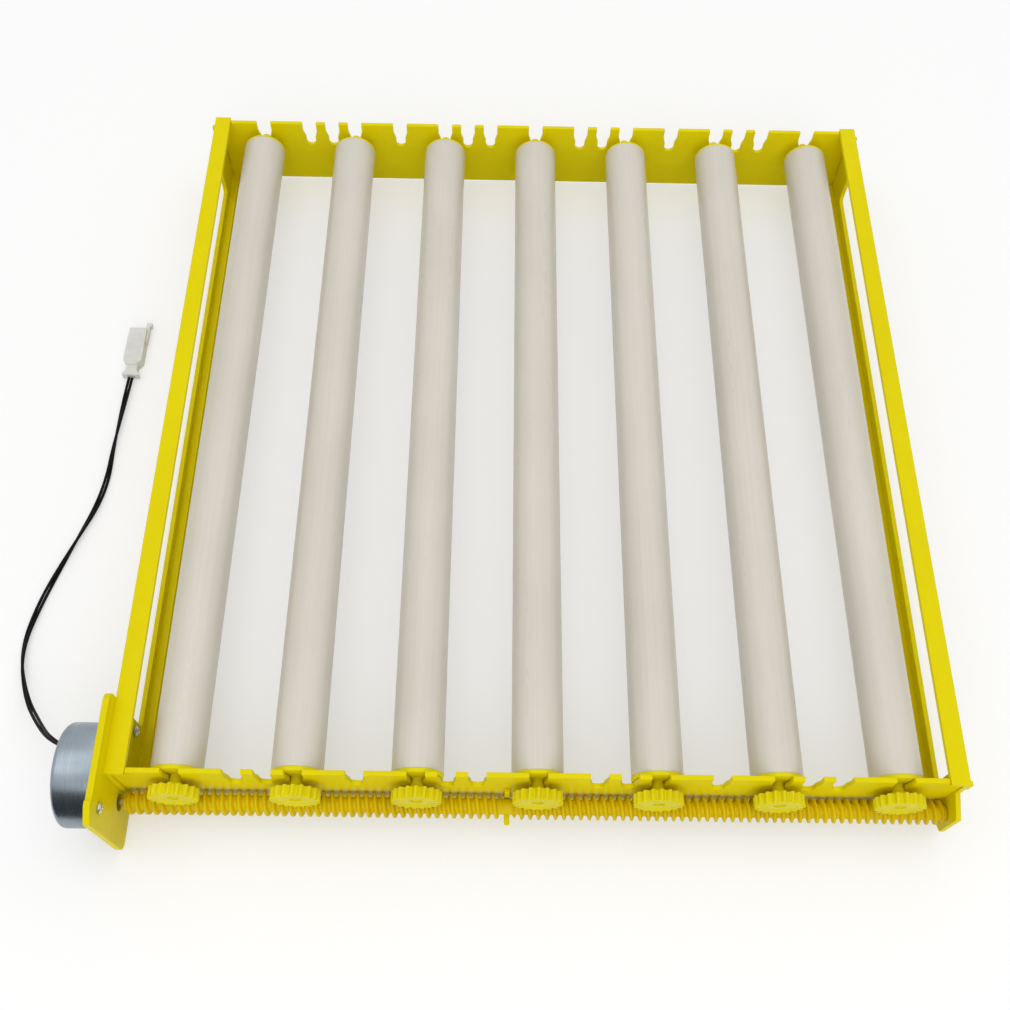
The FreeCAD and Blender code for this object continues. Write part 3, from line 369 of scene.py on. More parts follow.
@dataclass(frozen=True)
class ExtrudedPlastic(Finish):
    """Satin extruded tube with draw lines along its length."""

    roughness: Range = (0.26, 0.35)
    glow: float = 0.12
    glow_reach: Spot = (3.0 * MM, 2.5 * MM, 2.0 * MM)
    bend: float = 1.5
    lines: Pattern = Pattern(900.0, 3.0, (1.0, 0.006, 1.0), depth=0.05 * MM, strength=0.3)
    line_share: float = 0.35
    cloud: Pattern = Pattern(22.0, 3.0, (1.0, 0.5, 1.0))
    tone_range: Range = (0.36, 0.64)
    rubbed: Pattern = Pattern(130.0, 4.0, (1.0, 0.6, 1.0), 0.0, 0.45, 0.7)
    rub: float = 0.1

    def material(self) -> bpy.types.Material:
        """Draw lines in the tone, the sheen and the relief, with rubbed patches.

        Returns:
            The material.
        """
        shader = Shader(self.name)
        lines, cloud = shader.noise(self.lines), shader.noise(self.cloud)
        tone = shader.remap(shader.shared(lines, cloud, self.line_share), *self.tone_range)
        sheen = shader.remap(lines, self.lines.low, self.lines.high, *self.roughness)
        shader.feed({
            "Base Color": shader.blend(tone, self.face, self.shade),
            "Roughness": shader.plus(sheen, shader.shown(self.rubbed, 0.0, self.rub)),
            "Normal": shader.relief(lines, self.lines.depth, self.lines.strength),
            "Subsurface Weight": self.glow,
            "Subsurface Radius": self.glow_reach,
            "IOR": self.bend})
        return shader.material


@dataclass(frozen=True)
class DrawnMetal(Finish):
    """Drawn or turned metal with fine rings and soft stains."""

    roughness: Range = (0.24, 0.4)
    rings: Pattern = Pattern(2600.0, 3.0, (1.0, 0.02, 0.02), depth=0.03 * MM, strength=0.4)
    ring_share: float = 0.4
    stains: Pattern = Pattern(70.0, 4.0, (0.6, 1.0, 1.0))
    tone_range: Range = (0.38, 0.62)
    sheen_range: Range = (0.35, 0.65)

    def material(self) -> bpy.types.Material:
        """Rings about the X axis and stains share the tone and the sheen.

        Returns:
            The material.
        """
        shader = Shader(self.name)
        rings, stains = shader.noise(self.rings), shader.noise(self.stains)
        mixed = shader.shared(rings, stains, self.ring_share)
        shader.feed({
            "Base Color": shader.blend(shader.remap(mixed, *self.tone_range), self.face, self.shade),
            "Roughness": shader.remap(mixed, *self.sheen_range, *self.roughness),
            "Metallic": 1.0,
            "Normal": shader.relief(rings, self.rings.depth, self.rings.strength)})
        return shader.material


@dataclass(frozen=True)
class SoftJacket(Finish):
    """Black rubbery covering with dust and a fine grain."""

    roughness: float = 0.42
    gloss: float = 0.12
    bend: float = 1.48
    dust: Pattern = Pattern(420.0, 4.0, low=0.5, high=0.75)
    rubbed: Pattern = Pattern(900.0, 3.0)
    smoother: float = 0.06
    rougher: float = 0.1
    grain: Pattern = Pattern(2600.0, depth=0.04 * MM, strength=0.4)

    def material(self) -> bpy.types.Material:
        """Dust in the tone over a rubbed sheen and a fine grain.

        Returns:
            The material.
        """
        shader = Shader(self.name)
        low, high = self.roughness - self.smoother, self.roughness + self.rougher
        shader.feed({
            "Base Color": shader.blend(shader.shown(self.dust), self.face, self.shade),
            "Roughness": shader.shown(self.rubbed, low, high),
            "Normal": shader.raised(self.grain),
            "Specular IOR Level": self.gloss,
            "IOR": self.bend})
        return shader.material


@dataclass(frozen=True)
class MilkyNylon(Finish):
    """Uncoloured nylon that lets a little light through."""

    roughness: Range = (0.34, 0.5)
    glow: float = 0.7
    glow_reach: Spot = (4.0 * MM, 4.0 * MM, 3.5 * MM)
    bend: float = 1.53
    cloud: Pattern = Pattern(160.0, 3.0, low=0.35)
    rubbed: Pattern = Pattern(700.0, 3.0)
    grain: Pattern = Pattern(1500.0, depth=0.05 * MM, strength=0.3)

    def material(self) -> bpy.types.Material:
        """A cloudy tone with light inside and a fine grain.

        Returns:
            The material.
        """
        shader = Shader(self.name)
        shader.feed({
            "Base Color": shader.blend(shader.shown(self.cloud), self.face, self.shade),
            "Roughness": shader.shown(self.rubbed, *self.roughness),
            "Normal": shader.raised(self.grain),
            "Subsurface Weight": self.glow,
            "Subsurface Radius": self.glow_reach,
            "IOR": self.bend})
        return shader.material


@dataclass(frozen=True)
class WoundWire(Finish):
    """Enamelled wire in close turns."""

    roughness: Range = (0.45, 0.28)
    metal: float = 0.9
    wave_scale: float = 125.0
    wave_wobble: float = 0.6
    wave_depth: float = 0.2 * MM
    wave_strength: float = 0.8

    def material(self) -> bpy.types.Material:
        """A wave along the X axis gives each turn its sheen and height, and a tone that is painted shade, darker
        in the grooves between turns.

        Returns:
            The material.
        """
        shader = Shader(self.name)
        inputs = {"Vector": shader.place, "Scale": self.wave_scale, "Distortion": self.wave_wobble}
        wave = shader.node("ShaderNodeTexWave", inputs, bands_direction="X").outputs["Fac"]
        shader.feed({
            # The base colour follows the wave: its dark tone in the grooves between turns is painted shade.
            "Base Color": shader.blend(wave, self.shade, self.face),
            "Roughness": shader.remap(wave, 0.0, 1.0, *self.roughness),
            "Metallic": self.metal,
            "Normal": shader.relief(wave, self.wave_depth, self.wave_strength)})
        return shader.material


FINISHES = (
    MouldedPlastic("yellow_moulding", "yellow_plastic", (237, 221, 6), (232, 215, 3), gloss=0.07),
    MouldedPlastic("yellow_cap", "cap_plastic", (234, 221, 22), (228, 214, 14), (0.34, 0.48)),
    MouldedPlastic("yellow_worm", "worm_plastic", (226, 199, 6), (219, 190, 4), (0.34, 0.5)),
    MouldedPlastic("natural_acetal", "gear_plastic", (226, 223, 214), (214, 210, 198), (0.3, 0.42)),
    MouldedPlastic("ferrite", "magnet", (30, 30, 33), (44, 44, 46), (0.5, 0.7), glow=0.0),
    ExtrudedPlastic("satin_tube", "tube_plastic", (222, 216, 204), (213, 207, 194)),
    DrawnMetal("drawn_steel", "motor_steel", (152, 162, 170), (134, 144, 153)),
    DrawnMetal("bright_steel", "bright_steel", (212, 212, 214), (190, 190, 193), (0.18, 0.3)),
    DrawnMetal("sintered_brass", "brass", (206, 170, 96), (184, 146, 78), (0.3, 0.45)),
    DrawnMetal("tinned_terminal", "tinned_brass", (206, 204, 196), (186, 182, 168), (0.25, 0.4)),
    # The winding's darker second tone is painted shade for the grooves between its turns.
    WoundWire("copper_winding", "copper_wire", (196, 116, 62), (120, 60, 28)),
    SoftJacket("black_rubber", "black_rubber", (16, 16, 17), (34, 34, 35), 0.55),
    SoftJacket("black_jacket", "lead_jacket", (5, 5, 6), (12, 12, 14)),
    MilkyNylon("milky_nylon", "connector_nylon", (229, 229, 226), (219, 219, 212)),
)


class Paints:
    """The built materials by the record's slot."""

    def __init__(self, finishes: Iterable[Finish]) -> None:
        """Builds every finish once."""
        self.by_slot = {finish.slot: finish.material() for finish in finishes}
        self.slot_of = {row["node"]: row["material_slot"] for row in frame["record"]["subparts"]}

    def dress(self, piece: bpy.types.Object, slot: str) -> None:
        """Gives a piece the material of a slot."""
        piece.data.materials.clear()
        piece.data.materials.append(self.by_slot[slot])

    def dress_solids(self) -> None:
        """Gives every solid its own slot's material."""
        for node, solid in frame["nodes"].items():
            self.dress(solid, self.slot_of[node])

    def mount_dressed(self, piece: bpy.types.Object, node: str) -> None:
        """Gives a piece the material of the solid that it stands for and puts it on its body."""
        self.dress(piece, self.slot_of[node])
        mount(piece, node)


# --------------------------------------------------------------------------- mesh tools
def new_piece(name: str, mesh: bmesh.types.BMesh, crisp: float = CRISP_ANGLE) -> bpy.types.Object:
    """A scene object from a mesh under construction.

    Args:
        name: the piece's name.
        mesh: the geometry, which is freed.
        crisp: edges that turn by more than this angle stay crisp.

    Returns:
        The linked object, smooth shaded.
    """
    bmesh.ops.recalc_face_normals(mesh, faces=mesh.faces)
    data = bpy.data.meshes.new(name)
    mesh.to_mesh(data)
    mesh.free()
    return link_mesh(name, data, crisp)


def link_mesh(name: str, data: bpy.types.Mesh, crisp: float = CRISP_ANGLE) -> bpy.types.Object:
    """Puts finished mesh data in the scene.

    Args:
        name: the piece's name.
        data: its mesh.
        crisp: edges that turn by more than this angle stay crisp.

    Returns:
        The linked object, smooth shaded.
    """
    data.shade_smooth()
    data.set_sharp_from_angle(angle=crisp)
    piece = bpy.data.objects.new(name, data)
    bpy.context.scene.collection.objects.link(piece)
    return piece


def evaluated_mesh(piece: bpy.types.Object) -> bpy.types.Mesh:
    """The mesh that a piece has once its modifiers have run.

    Args:
        piece: a mesh or curve object.

    Returns:
        New mesh data.
    """
    graph = bpy.context.evaluated_depsgraph_get()
    graph.update()
    return bpy.data.meshes.new_from_object(piece.evaluated_get(graph))


def lathe(axis: Axis, centre: Vector, stations: Sequence[Range], segments: int,
          ring: bool = False) -> bmesh.types.BMesh:
    """A turned shape.

    Args:
        axis: the axis it is turned about.
        centre: a point on that axis.
        stations: (place along the axis, radius) pairs in metres, in order.
        segments: faces round the shape.
        ring: joins the last station to the first.

    Returns:
        The mesh under construction, closed at its poles.
    """
    mesh = bmesh.new()
    rings = []
    for along, radius in stations:
        circle = []
        for step in range(segments if radius > 0 else 1):
            angle = 2 * math.pi * step / segments
            side, up = radius * math.sin(angle), radius * math.cos(angle)
            spot = (along, centre.y + side, centre.z + up)
            if axis is Axis.Y:
                spot = (centre.x + side, along, centre.z + up)
            circle.append(mesh.verts.new(spot))
        rings.append(circle)
    pairs = list(zip(rings, rings[1:]))
    if ring:
        pairs.append((rings[-1], rings[0]))
    for first, second in pairs:
        for step in range(segments):
            after = (step + 1) % segments
            corners = [first[step % len(first)], first[after % len(first)],
                       second[after % len(second)], second[step % len(second)]]
            unique = list(dict.fromkeys(corners))
            if len(unique) > 2:
                mesh.faces.new(unique)
    return mesh


def eased(points: Sequence[Spot], steps: int = 4) -> list[Range]:
    """Rounds the corners of a profile.

    Args:
        points: (place, radius, corner radius) of each corner.
        steps: faces in each rounded corner.

    Returns:
        The (place, radius) stations.
    """
    stations: list[Range] = []
    for index, (along, radius, corner) in enumerate(points):
        here = Vector((along, radius))
        if corner <= 0 or index in (0, len(points) - 1):
            stations.append((along, radius))
            continue
        back = (Vector(points[index - 1][:2]) - here).normalized()
        ahead = (Vector(points[index + 1][:2]) - here).normalized()
        half = back.angle(ahead) / 2
        reach = corner / math.tan(half)
        centre = here + (back + ahead).normalized() * (corner / math.sin(half))
        start = here + back * reach - centre
        end = here + ahead * reach - centre
        sweep = start.angle_signed(end)
        for step in range(steps + 1):
            spot = centre + Matrix.Rotation(-sweep * step / steps, 2) @ start
            stations.append((spot.x, spot.y))
    return stations


def edged_copy(node: str, name: str, width: float) -> bpy.types.Object:
    """A copy of a solid with its edges rounded as a moulding's are.

    Args:
        node: the solid that is copied.
        name: the new piece's name.
        width: width of the rounding.

    Returns:
        The new piece.
    """
    mesh = bmesh.new()
    mesh.from_mesh(frame["nodes"][node].data)
    bmesh.ops.remove_doubles(mesh, verts=mesh.verts, dist=MERGE_DISTANCE)
    bmesh.ops.dissolve_limit(mesh, angle_limit=FLAT_ANGLE, verts=mesh.verts, edges=mesh.edges)
    piece = new_piece(name, mesh)
    bevel = piece.modifiers.new("edges", "BEVEL")
    bevel.width = width
    bevel.segments = EDGE_FACES
    bevel.limit_method = "ANGLE"
    bevel.angle_limit = EDGE_ANGLE
    bevel.use_clamp_overlap = True
    bevel.harden_normals = False
    weighted = piece.modifiers.new("shading", "WEIGHTED_NORMAL")
    weighted.keep_sharp = False
    weighted.weight = FACE_WEIGHT
    data = evaluated_mesh(piece)
    piece.modifiers.clear()
    piece.data = data
    return piece


class GeometryTree(Graph):
    """A geometry tree with named inputs, used and then settled to a mesh."""

    def __init__(self, name: str) -> None:
        """Starts a tree that takes and gives a mesh.

        Args:
            name: the tree's name.
        """
        super().__init__(bpy.data.node_groups.new(name, "GeometryNodeTree"))
        for direction in ("INPUT", "OUTPUT"):
            self.tree.interface.new_socket("Geometry", in_out=direction, socket_type="NodeSocketGeometry")
        self.sources = self.node("NodeGroupInput")
        self.identifiers: dict[str, str] = {}

    @property
    def base(self) -> Socket:
        """The geometry of the object that the tree is put on."""
        return self.sources.outputs["Geometry"]

    def inputs(self, *names: str, kind: str = "NodeSocketFloat") -> list[Socket]:
        """Adds named inputs.

        Args:
            names: the inputs' names.
            kind: the sockets' type.

        Returns:
            The sockets that carry them inside the tree, in order.
        """
        for name in names:
            made = self.tree.interface.new_socket(name, in_out="INPUT", socket_type=kind)
            self.identifiers[name] = made.identifier
        return [self.sources.outputs[name] for name in names]

    def close(self, geometry: Socket, material: bpy.types.Material) -> None:
        """Ends the tree with real geometry.

        Args:
            geometry: what the tree gives.
            material: the finish that it takes.
        """
        real = self.node("GeometryNodeRealizeInstances", {"Geometry": geometry})
        painted = self.node("GeometryNodeSetMaterial", {"Geometry": real.outputs[0], "Material": material})
        self.node("NodeGroupOutput", {"Geometry": painted.outputs[0]})

    def grow(self, piece: bpy.types.Object, values: dict[str, object]) -> bpy.types.Object:
        """Runs the tree on a piece and settles the result.

        Args:
            piece: the object whose mesh or curve the tree takes.
            values: the named inputs.

        Returns:
            A new plain mesh object; the given one is removed.
        """
        modifier = piece.modifiers.new(self.tree.name, "NODES")
        modifier.node_group = self.tree
        for name, value in values.items():
            modifier[self.identifiers[name]] = value
        data = evaluated_mesh(piece)
        name = piece.name
        bpy.data.objects.remove(piece)
        return link_mesh(name, data)


def close_mesh(piece: bpy.types.Object) -> bpy.types.Object:
    """Merges doubles, fills open ends and turns the faces outwards.

    Args:
        piece: the piece to mend.

    Returns:
        The same piece.
    """
    mesh = bmesh.new()
    mesh.from_mesh(piece.data)
    bmesh.ops.remove_doubles(mesh, verts=mesh.verts, dist=MERGE_DISTANCE)
    bmesh.ops.dissolve_degenerate(mesh, edges=mesh.edges, dist=SLIVER_LENGTH)
    bmesh.ops.holes_fill(mesh, edges=mesh.edges, sides=0)
    bmesh.ops.recalc_face_normals(mesh, faces=mesh.faces)
    mesh.to_mesh(piece.data)
    mesh.free()
    piece.data.shade_smooth()
    piece.data.set_sharp_from_angle(angle=CRISP_THREAD_ANGLE)
    return piece


def mount(piece: bpy.types.Object, node: str) -> None:
    """Puts a finished piece on the body of the solid that it stands for.

    Args:
        piece: the finished piece.
        node: the solid that it replaces.
    """
    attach(piece, body_of(node))
    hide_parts(node)
    LOG.info("%s stands for %s", piece.name, node)


# --------------------------------------------------------------------------- studio
@dataclass(frozen=True)
class Lamp:
    """A square soft light that points at the tray's middle."""

    name: str
    spot: Spot
    size: float
    power: float
    aim: Spot = (0.0, 0.0, 0.02)

    def add(self) -> None:
        """Puts the light in the scene."""
        data = bpy.data.lights.new(self.name, "AREA")
        data.shape = "SQUARE"
        data.size = self.size
        data.energy = self.power
        light = bpy.data.objects.new(self.name, data)
        ray = Vector(self.aim) - Vector(self.spot)
        light.rotation_euler = ray.to_track_quat("-Z", "Y").to_euler()
        light.location = self.spot
        bpy.context.scene.collection.objects.link(light)


@dataclass
class Studio:
    """Camera, lights and floor."""

    place: Spot = (-0.01246, -0.33145, 0.57502)
    tilt_down: float = 61.94
    heading: float = 1.18
    roll: float = 1.93
    lens: float = 41.70
    sensor: float = 36.0
    near_clip: float = 0.01
    lamps: tuple[Lamp, ...] = (
        Lamp("key", (-0.5, 0.1, 1.8), 1.6, 6.0),
        Lamp("fill", (0.9, 0.4, 1.7), 1.6, 3.8),
        Lamp("back", (0.1, 1.5, 1.5), 1.5, 2.0),
        Lamp("front", (0.1, -1.5, 0.95), 1.4, 8.5))
    floor_size: float = 40.0
    floor_drop: float = 0.2 * MM
    floor_tone: float = 0.66
    floor_roughness: float = 0.9
    floor_lift: float = 0.39
    far_lift: float = 0.66
    lift_reach: Range = (0.5, 3.0)
    horizon_level: float = 0.74
    sky_level: float = 0.54
    sky_reach: Range = (-0.1, 0.7)
    # Tone and size of the dark sheet that only reflections see: a painted dark reflection, not a real object.
    dark_reflection_tone: Spot = (0.03, 0.035, 0.04)
    reflection_sheet_side: float = 1.5
    reflection_sheet_near: float = -0.27
    reflection_sheet_far: float = -0.95
    reflection_sheet_foot: float = 1.0 * MM
    reflection_sheet_height: float = 0.75

    def add_reflection_sheet(self) -> None:
        """A dark sheet in front of the tray that only reflections see: it paints a dark band of reflection on the
        metal, in place of a dark room.
        """
        mesh = bmesh.new()
        near, far, foot = self.reflection_sheet_near, self.reflection_sheet_far, self.reflection_sheet_foot
        line = ((near, foot), (far, foot), (far, self.reflection_sheet_height))
        rows = [[mesh.verts.new((x, y, z)) for x in (-self.reflection_sheet_side, self.reflection_sheet_side)] for y, z in line]
        for first, second in zip(rows, rows[1:]):
            mesh.faces.new((first[0], first[1], second[1], second[0]))
        reflection_sheet = new_piece("reflection_sheet", mesh)
        # The sheet's dark tone is painted reflection: it shows only in mirror rays, as a dark band on the can.
        reflection_paint = Shader("painted_reflection_sheet")
        reflection_paint.feed({"Base Color": (*self.dark_reflection_tone, 1)})
        reflection_sheet.data.materials.append(reflection_paint.material)
        for ray in ("camera", "diffuse", "shadow", "transmission", "volume_scatter"):
            setattr(reflection_sheet, "visible_" + ray, False)

    def add_camera(self) -> None:
        """Places the camera and makes it the scene's own."""
        tilt, turn, roll = (math.radians(angle) for angle in (self.tilt_down, self.heading, self.roll))
        ahead = Vector((math.sin(turn) * math.cos(tilt), math.cos(turn) * math.cos(tilt), -math.sin(tilt)))
        right = Vector((math.cos(turn), -math.sin(turn), 0))
        down = ahead.cross(right)
        across = right * math.cos(roll) - down * math.sin(roll)
        below = right * math.sin(roll) + down * math.cos(roll)
        data = bpy.data.cameras.new("camera")
        data.lens = self.lens
        data.sensor_width = self.sensor
        data.clip_start = self.near_clip
        camera = bpy.data.objects.new("camera", data)
        turned = Matrix((across, -below, -ahead)).transposed()
        camera.matrix_world = Matrix.Translation(self.place) @ turned.to_4x4()
        bpy.context.scene.collection.objects.link(camera)
        bpy.context.scene.camera = camera

    def add_world(self) -> None:
        """A soft room, with a white backdrop where the camera or a reflection sees it."""
        world = bpy.data.worlds.new("room")
        world.use_nodes = True
        graph = Graph(world.node_tree)
        height = graph.split(graph.node("ShaderNodeTexCoord").outputs["Object"])[2]
        level = graph.remap(height, *self.sky_reach, self.horizon_level, self.sky_level, smooth=True)
        ends = {0: graph.seen_directly(), 2: level, 3: 1.0}
        strength = graph.node("ShaderNodeMix", ends, data_type="FLOAT").outputs[0]
        graph.fill(world.node_tree.nodes["Background"], {"Color": (1, 1, 1, 1), "Strength": strength})
        bpy.context.scene.world = world

    def add_floor(self) -> None:
        """A plain white floor that keeps the tray's soft shadow."""
        mesh = bmesh.new()
        bmesh.ops.create_grid(mesh, x_segments=1, y_segments=1, size=self.floor_size / 2)
        floor = new_piece("floor", mesh)
        floor.location.z = -self.floor_drop
        paint = Shader("floor_white")
        reach = paint.node("ShaderNodeVectorMath", {0: paint.place}, operation="LENGTH").outputs["Value"]
        rise = paint.remap(reach, *self.lift_reach, self.floor_lift, self.far_lift, smooth=True)
        paint.feed({
            "Base Color": (self.floor_tone, self.floor_tone, self.floor_tone, 1),
            "Roughness": self.floor_roughness,
            "Specular IOR Level": 0.0,
            "Emission Color": (1, 1, 1, 1),
            "Emission Strength": paint.times(paint.seen_directly(), rise)})
        floor.data.materials.append(paint.material)

    def build(self) -> None:
        """Sets up everything around the tray."""
        self.add_camera()
        for lamp in self.lamps:
            lamp.add()
        self.add_world()
        self.add_reflection_sheet()
        self.add_floor()
        bpy.context.scene.view_settings.view_transform = "Standard"


# --------------------------------------------------------------------------- lead
@dataclass
class Lead:
    """Loosely twisted pair of black wires from the motor to its connector."""

    paints: Paints
    route: tuple[Spot, ...] = (
        (-0.21000, -0.17605, 0.03300), (-0.21950, -0.17180, 0.03150), (-0.23200, -0.16050, 0.01750),
        (-0.24750, -0.14150, 0.00360), (-0.25580, -0.11650, 0.00175), (-0.25100, -0.08850, 0.00175),
        (-0.24050, -0.05700, 0.00175), (-0.22800, -0.02200, 0.00175), (-0.22850, 0.01500, 0.00180),
        (-0.22570, 0.05350, 0.00320))
    wire_radius: float = 0.8 * MM
    wire_sides: int = 14
    spread: float = 0.85 * MM
    half_turns: float = 3.65
    first_turn: float = 0.5
    diameter: float = 3.4 * MM
    smoothness: int = 24

    def route_curve(self) -> bpy.types.Object:
        """The smooth line that the pair follows.

        Returns:
            The curve object.
        """
        data = bpy.data.curves.new("lead_route", "CURVE")
        data.dimensions = "3D"
        spline = data.splines.new("NURBS")
        spline.points.add(len(self.route) - 1)
        for point, spot in zip(spline.points, self.route):
            point.co = (*spot, 1)
        spline.order_u = 3
        spline.use_endpoint_u = True
        spline.resolution_u = self.smoothness
        curve = bpy.data.objects.new("lead_route", data)
        bpy.context.scene.collection.objects.link(curve)
        return curve

    def twist_tree(self) -> GeometryTree:
        """Two round wires that turn about each other along a curve.

        Returns:
            The tree.
        """
        tree = GeometryTree("twisted_pair")
        radius, spread, turns, first = tree.inputs("Wire Radius", "Spread", "Half Turns", "First Turn")
        along = tree.node("GeometryNodeSplineParameter").outputs["Factor"]
        upright = tree.node("GeometryNodeSetCurveNormal", {"Curve": tree.base}, mode="Z_UP")
        tilt = tree.times(tree.plus(tree.times(along, turns), first), math.pi)
        tilted = tree.node("GeometryNodeSetCurveTilt", {"Curve": upright.outputs[0], "Tilt": tilt})
        sizes = {"Resolution": self.wire_sides, "Radius": radius}
        wire = tree.node("GeometryNodeCurvePrimitiveCircle", sizes, mode="RADIUS")
        both = tree.node("GeometryNodeJoinGeometry")
        for side in (-1.0, 1.0):
            shift = tree.combine(tree.times(spread, side), 0.0, 0.0)
            moved = tree.node("GeometryNodeTransform", {"Geometry": wire.outputs[0], "Translation": shift})
            tree.fill(both, {0: moved.outputs[0]})
        outline = {"Curve": tilted.outputs[0], "Profile Curve": both.outputs[0], "Fill Caps": True}
        wires = tree.node("GeometryNodeCurveToMesh", outline)
        tree.close(wires.outputs[0], self.paints.by_slot["lead_jacket"])
        return tree

    def build(self) -> None:
        curve = self.route_curve()
        path = [vertex.co.copy() for vertex in evaluated_mesh(curve).vertices]
        pair = self.twist_tree().grow(curve, {
            "Wire Radius": self.wire_radius, "Spread": self.spread,
            "Half Turns": self.half_turns, "First Turn": self.first_turn})
        pair.name = "lead_pair"
        mount(pair, "lead")


# --------------------------------------------------------------------------- frame
@dataclass
class TrayFrame:
    """The yellow mouldings that hold everything."""

    paints: Paints
    edge: float = 0.6 * MM
    nodes: tuple[str, ...] = ("left_side_frame", "right_side_frame", "front_wall", "rear_wall", "worm_saddle",
                              "motor_bracket")

    def build(self) -> None:
        """Copies each moulding with rounded edges."""
        for node in self.nodes:
            self.paints.mount_dressed(edged_copy(node, node + "_moulding", self.edge), node)


# --------------------------------------------------------------------------- worm
@dataclass
class Worm:
    """The two threaded sleeves of the worm and the plain journal between them."""

    paints: Paints
    pitch: float = 4.0 * MM
    root: float = 3.65 * MM
    tip: float = 5.8 * MM
    crest_half: float = 0.42 * MM
    foot_half: float = 1.36 * MM
    run_out: float = 2.6 * MM
    bore: float = 1.5 * MM
    journal_lap: float = 0.2 * MM
    journal_segments: int = 48
    steps: int = 14
    segments: int = 36

    def thread_tree(self) -> GeometryTree:
        """A threaded skin whose radius follows the place along the helix.

        Returns:
            The tree, which makes its own grid.
        """
        tree = GeometryTree("worm_thread")
        start, end, grid_middle, grid_length = tree.inputs("Start", "End", "Grid Middle", "Grid Length")
        crest, pitch, root, tip = tree.inputs("Crest", "Pitch", "Root Radius", "Tip Radius")
        crest_half, foot_half, run_out = tree.inputs("Crest Half Width", "Foot Half Width", "Run Out")
        axis_y, axis_z = tree.inputs("Axis Y", "Axis Z")
        columns, rows = tree.inputs("Columns", "Rows", kind="NodeSocketInt")
        sizes = {"Size X": grid_length, "Size Y": 2 * math.pi, "Vertices X": columns, "Vertices Y": rows}
        grid = tree.node("GeometryNodeMeshGrid", sizes)
        flat_x, flat_y, _ = tree.split(tree.node("GeometryNodeInputPosition").outputs[0])
        turn = tree.plus(flat_y, math.pi)
        place = tree.plus(flat_x, grid_middle)
        lag = tree.times(tree.over(turn, 2 * math.pi), pitch)
        x = tree.maths("MINIMUM", tree.maths("MAXIMUM", tree.plus(place, lag), start), end)
        turns = tree.plus(tree.over(tree.minus(place, crest), pitch), 0.5)
        off = tree.minus(tree.maths("FLOORED_MODULO", turns, 1.0), 0.5)
        distance = tree.times(tree.maths("ABSOLUTE", off), pitch)
        thread = tree.remap(distance, crest_half, foot_half, tip, root, smooth=True)
        edge = tree.maths("MINIMUM", tree.minus(x, start), tree.minus(end, x))
        fade = tree.remap(edge, 0.0, run_out, smooth=True)
        radius = tree.plus(root, tree.times(tree.minus(thread, root), fade))
        angle = tree.plus(turn, math.pi / 2)
        y = tree.plus(axis_y, tree.times(radius, tree.maths("COSINE", angle)))
        z = tree.plus(axis_z, tree.times(radius, tree.maths("SINE", angle)))
        rolled = {"Geometry": grid.outputs[0], "Position": tree.combine(x, y, z)}
        moved = tree.node("GeometryNodeSetPosition", rolled)
        seam = {"Geometry": moved.outputs[0], "Distance": MERGE_DISTANCE}
        merged = tree.node("GeometryNodeMergeByDistance", seam)
        tree.close(merged.outputs[0], self.paints.by_slot["worm_plastic"])
        return tree

    def add_sleeve(self, tree: GeometryTree, node: str, start: float, end: float) -> None:
        """Makes and mounts one threaded sleeve.

        Args:
            tree: the thread's tree.
            node: the solid that it stands for.
            start: x of its left end.
            end: x of its right end.
        """
        axis = joint_point("worm_turn")
        crest = node_centre("roller_tube_1").x
        first = math.floor((start - self.pitch - crest) / self.pitch)
        last = math.ceil((end - crest) / self.pitch)
        low, high = crest + first * self.pitch, crest + last * self.pitch
        seed = new_piece(node + "_thread", bmesh.new())
        piece = tree.grow(seed, {
            "Start": start, "End": end, "Grid Middle": (low + high) / 2, "Grid Length": high - low,
            "Crest": crest, "Pitch": self.pitch, "Root Radius": self.root, "Tip Radius": self.tip,
            "Crest Half Width": self.crest_half, "Foot Half Width": self.foot_half, "Run Out": self.run_out,
            "Axis Y": axis.y, "Axis Z": axis.z, "Columns": (last - first) * self.steps + 1,
            "Rows": self.segments + 1})
        mount(close_mesh(piece), node)

    def add_journal(self, start: float, end: float) -> None:
        """Makes the plain journal that runs in the saddle.

        Args:
            start: x of its left end.
            end: x of its right end.
        """
        stations = [(start, self.bore), (start, self.root), (end, self.root), (end, self.bore)]
        turned = lathe(Axis.X, joint_point("worm_turn"), stations, self.journal_segments, True)
        journal = new_piece("worm_journal", turned)
        self.paints.dress(journal, "worm_plastic")
        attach(journal, "worm")
        LOG.info("%s joins the two sleeves", journal.name)

    def build(self) -> None:
        """Makes both sleeves and the journal between them."""
        tree = self.thread_tree()
        left_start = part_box("worm_left")[0].x
        right_start, right_end = (corner.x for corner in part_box("worm_right"))
        saddle_start, saddle_end = (corner.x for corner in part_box("worm_saddle"))
        left_end = saddle_start - (right_start - saddle_end)
        self.add_sleeve(tree, "worm_left", left_start, left_end)
        self.add_sleeve(tree, "worm_right", right_start, right_end)
        self.add_journal(left_end - self.journal_lap, right_start)


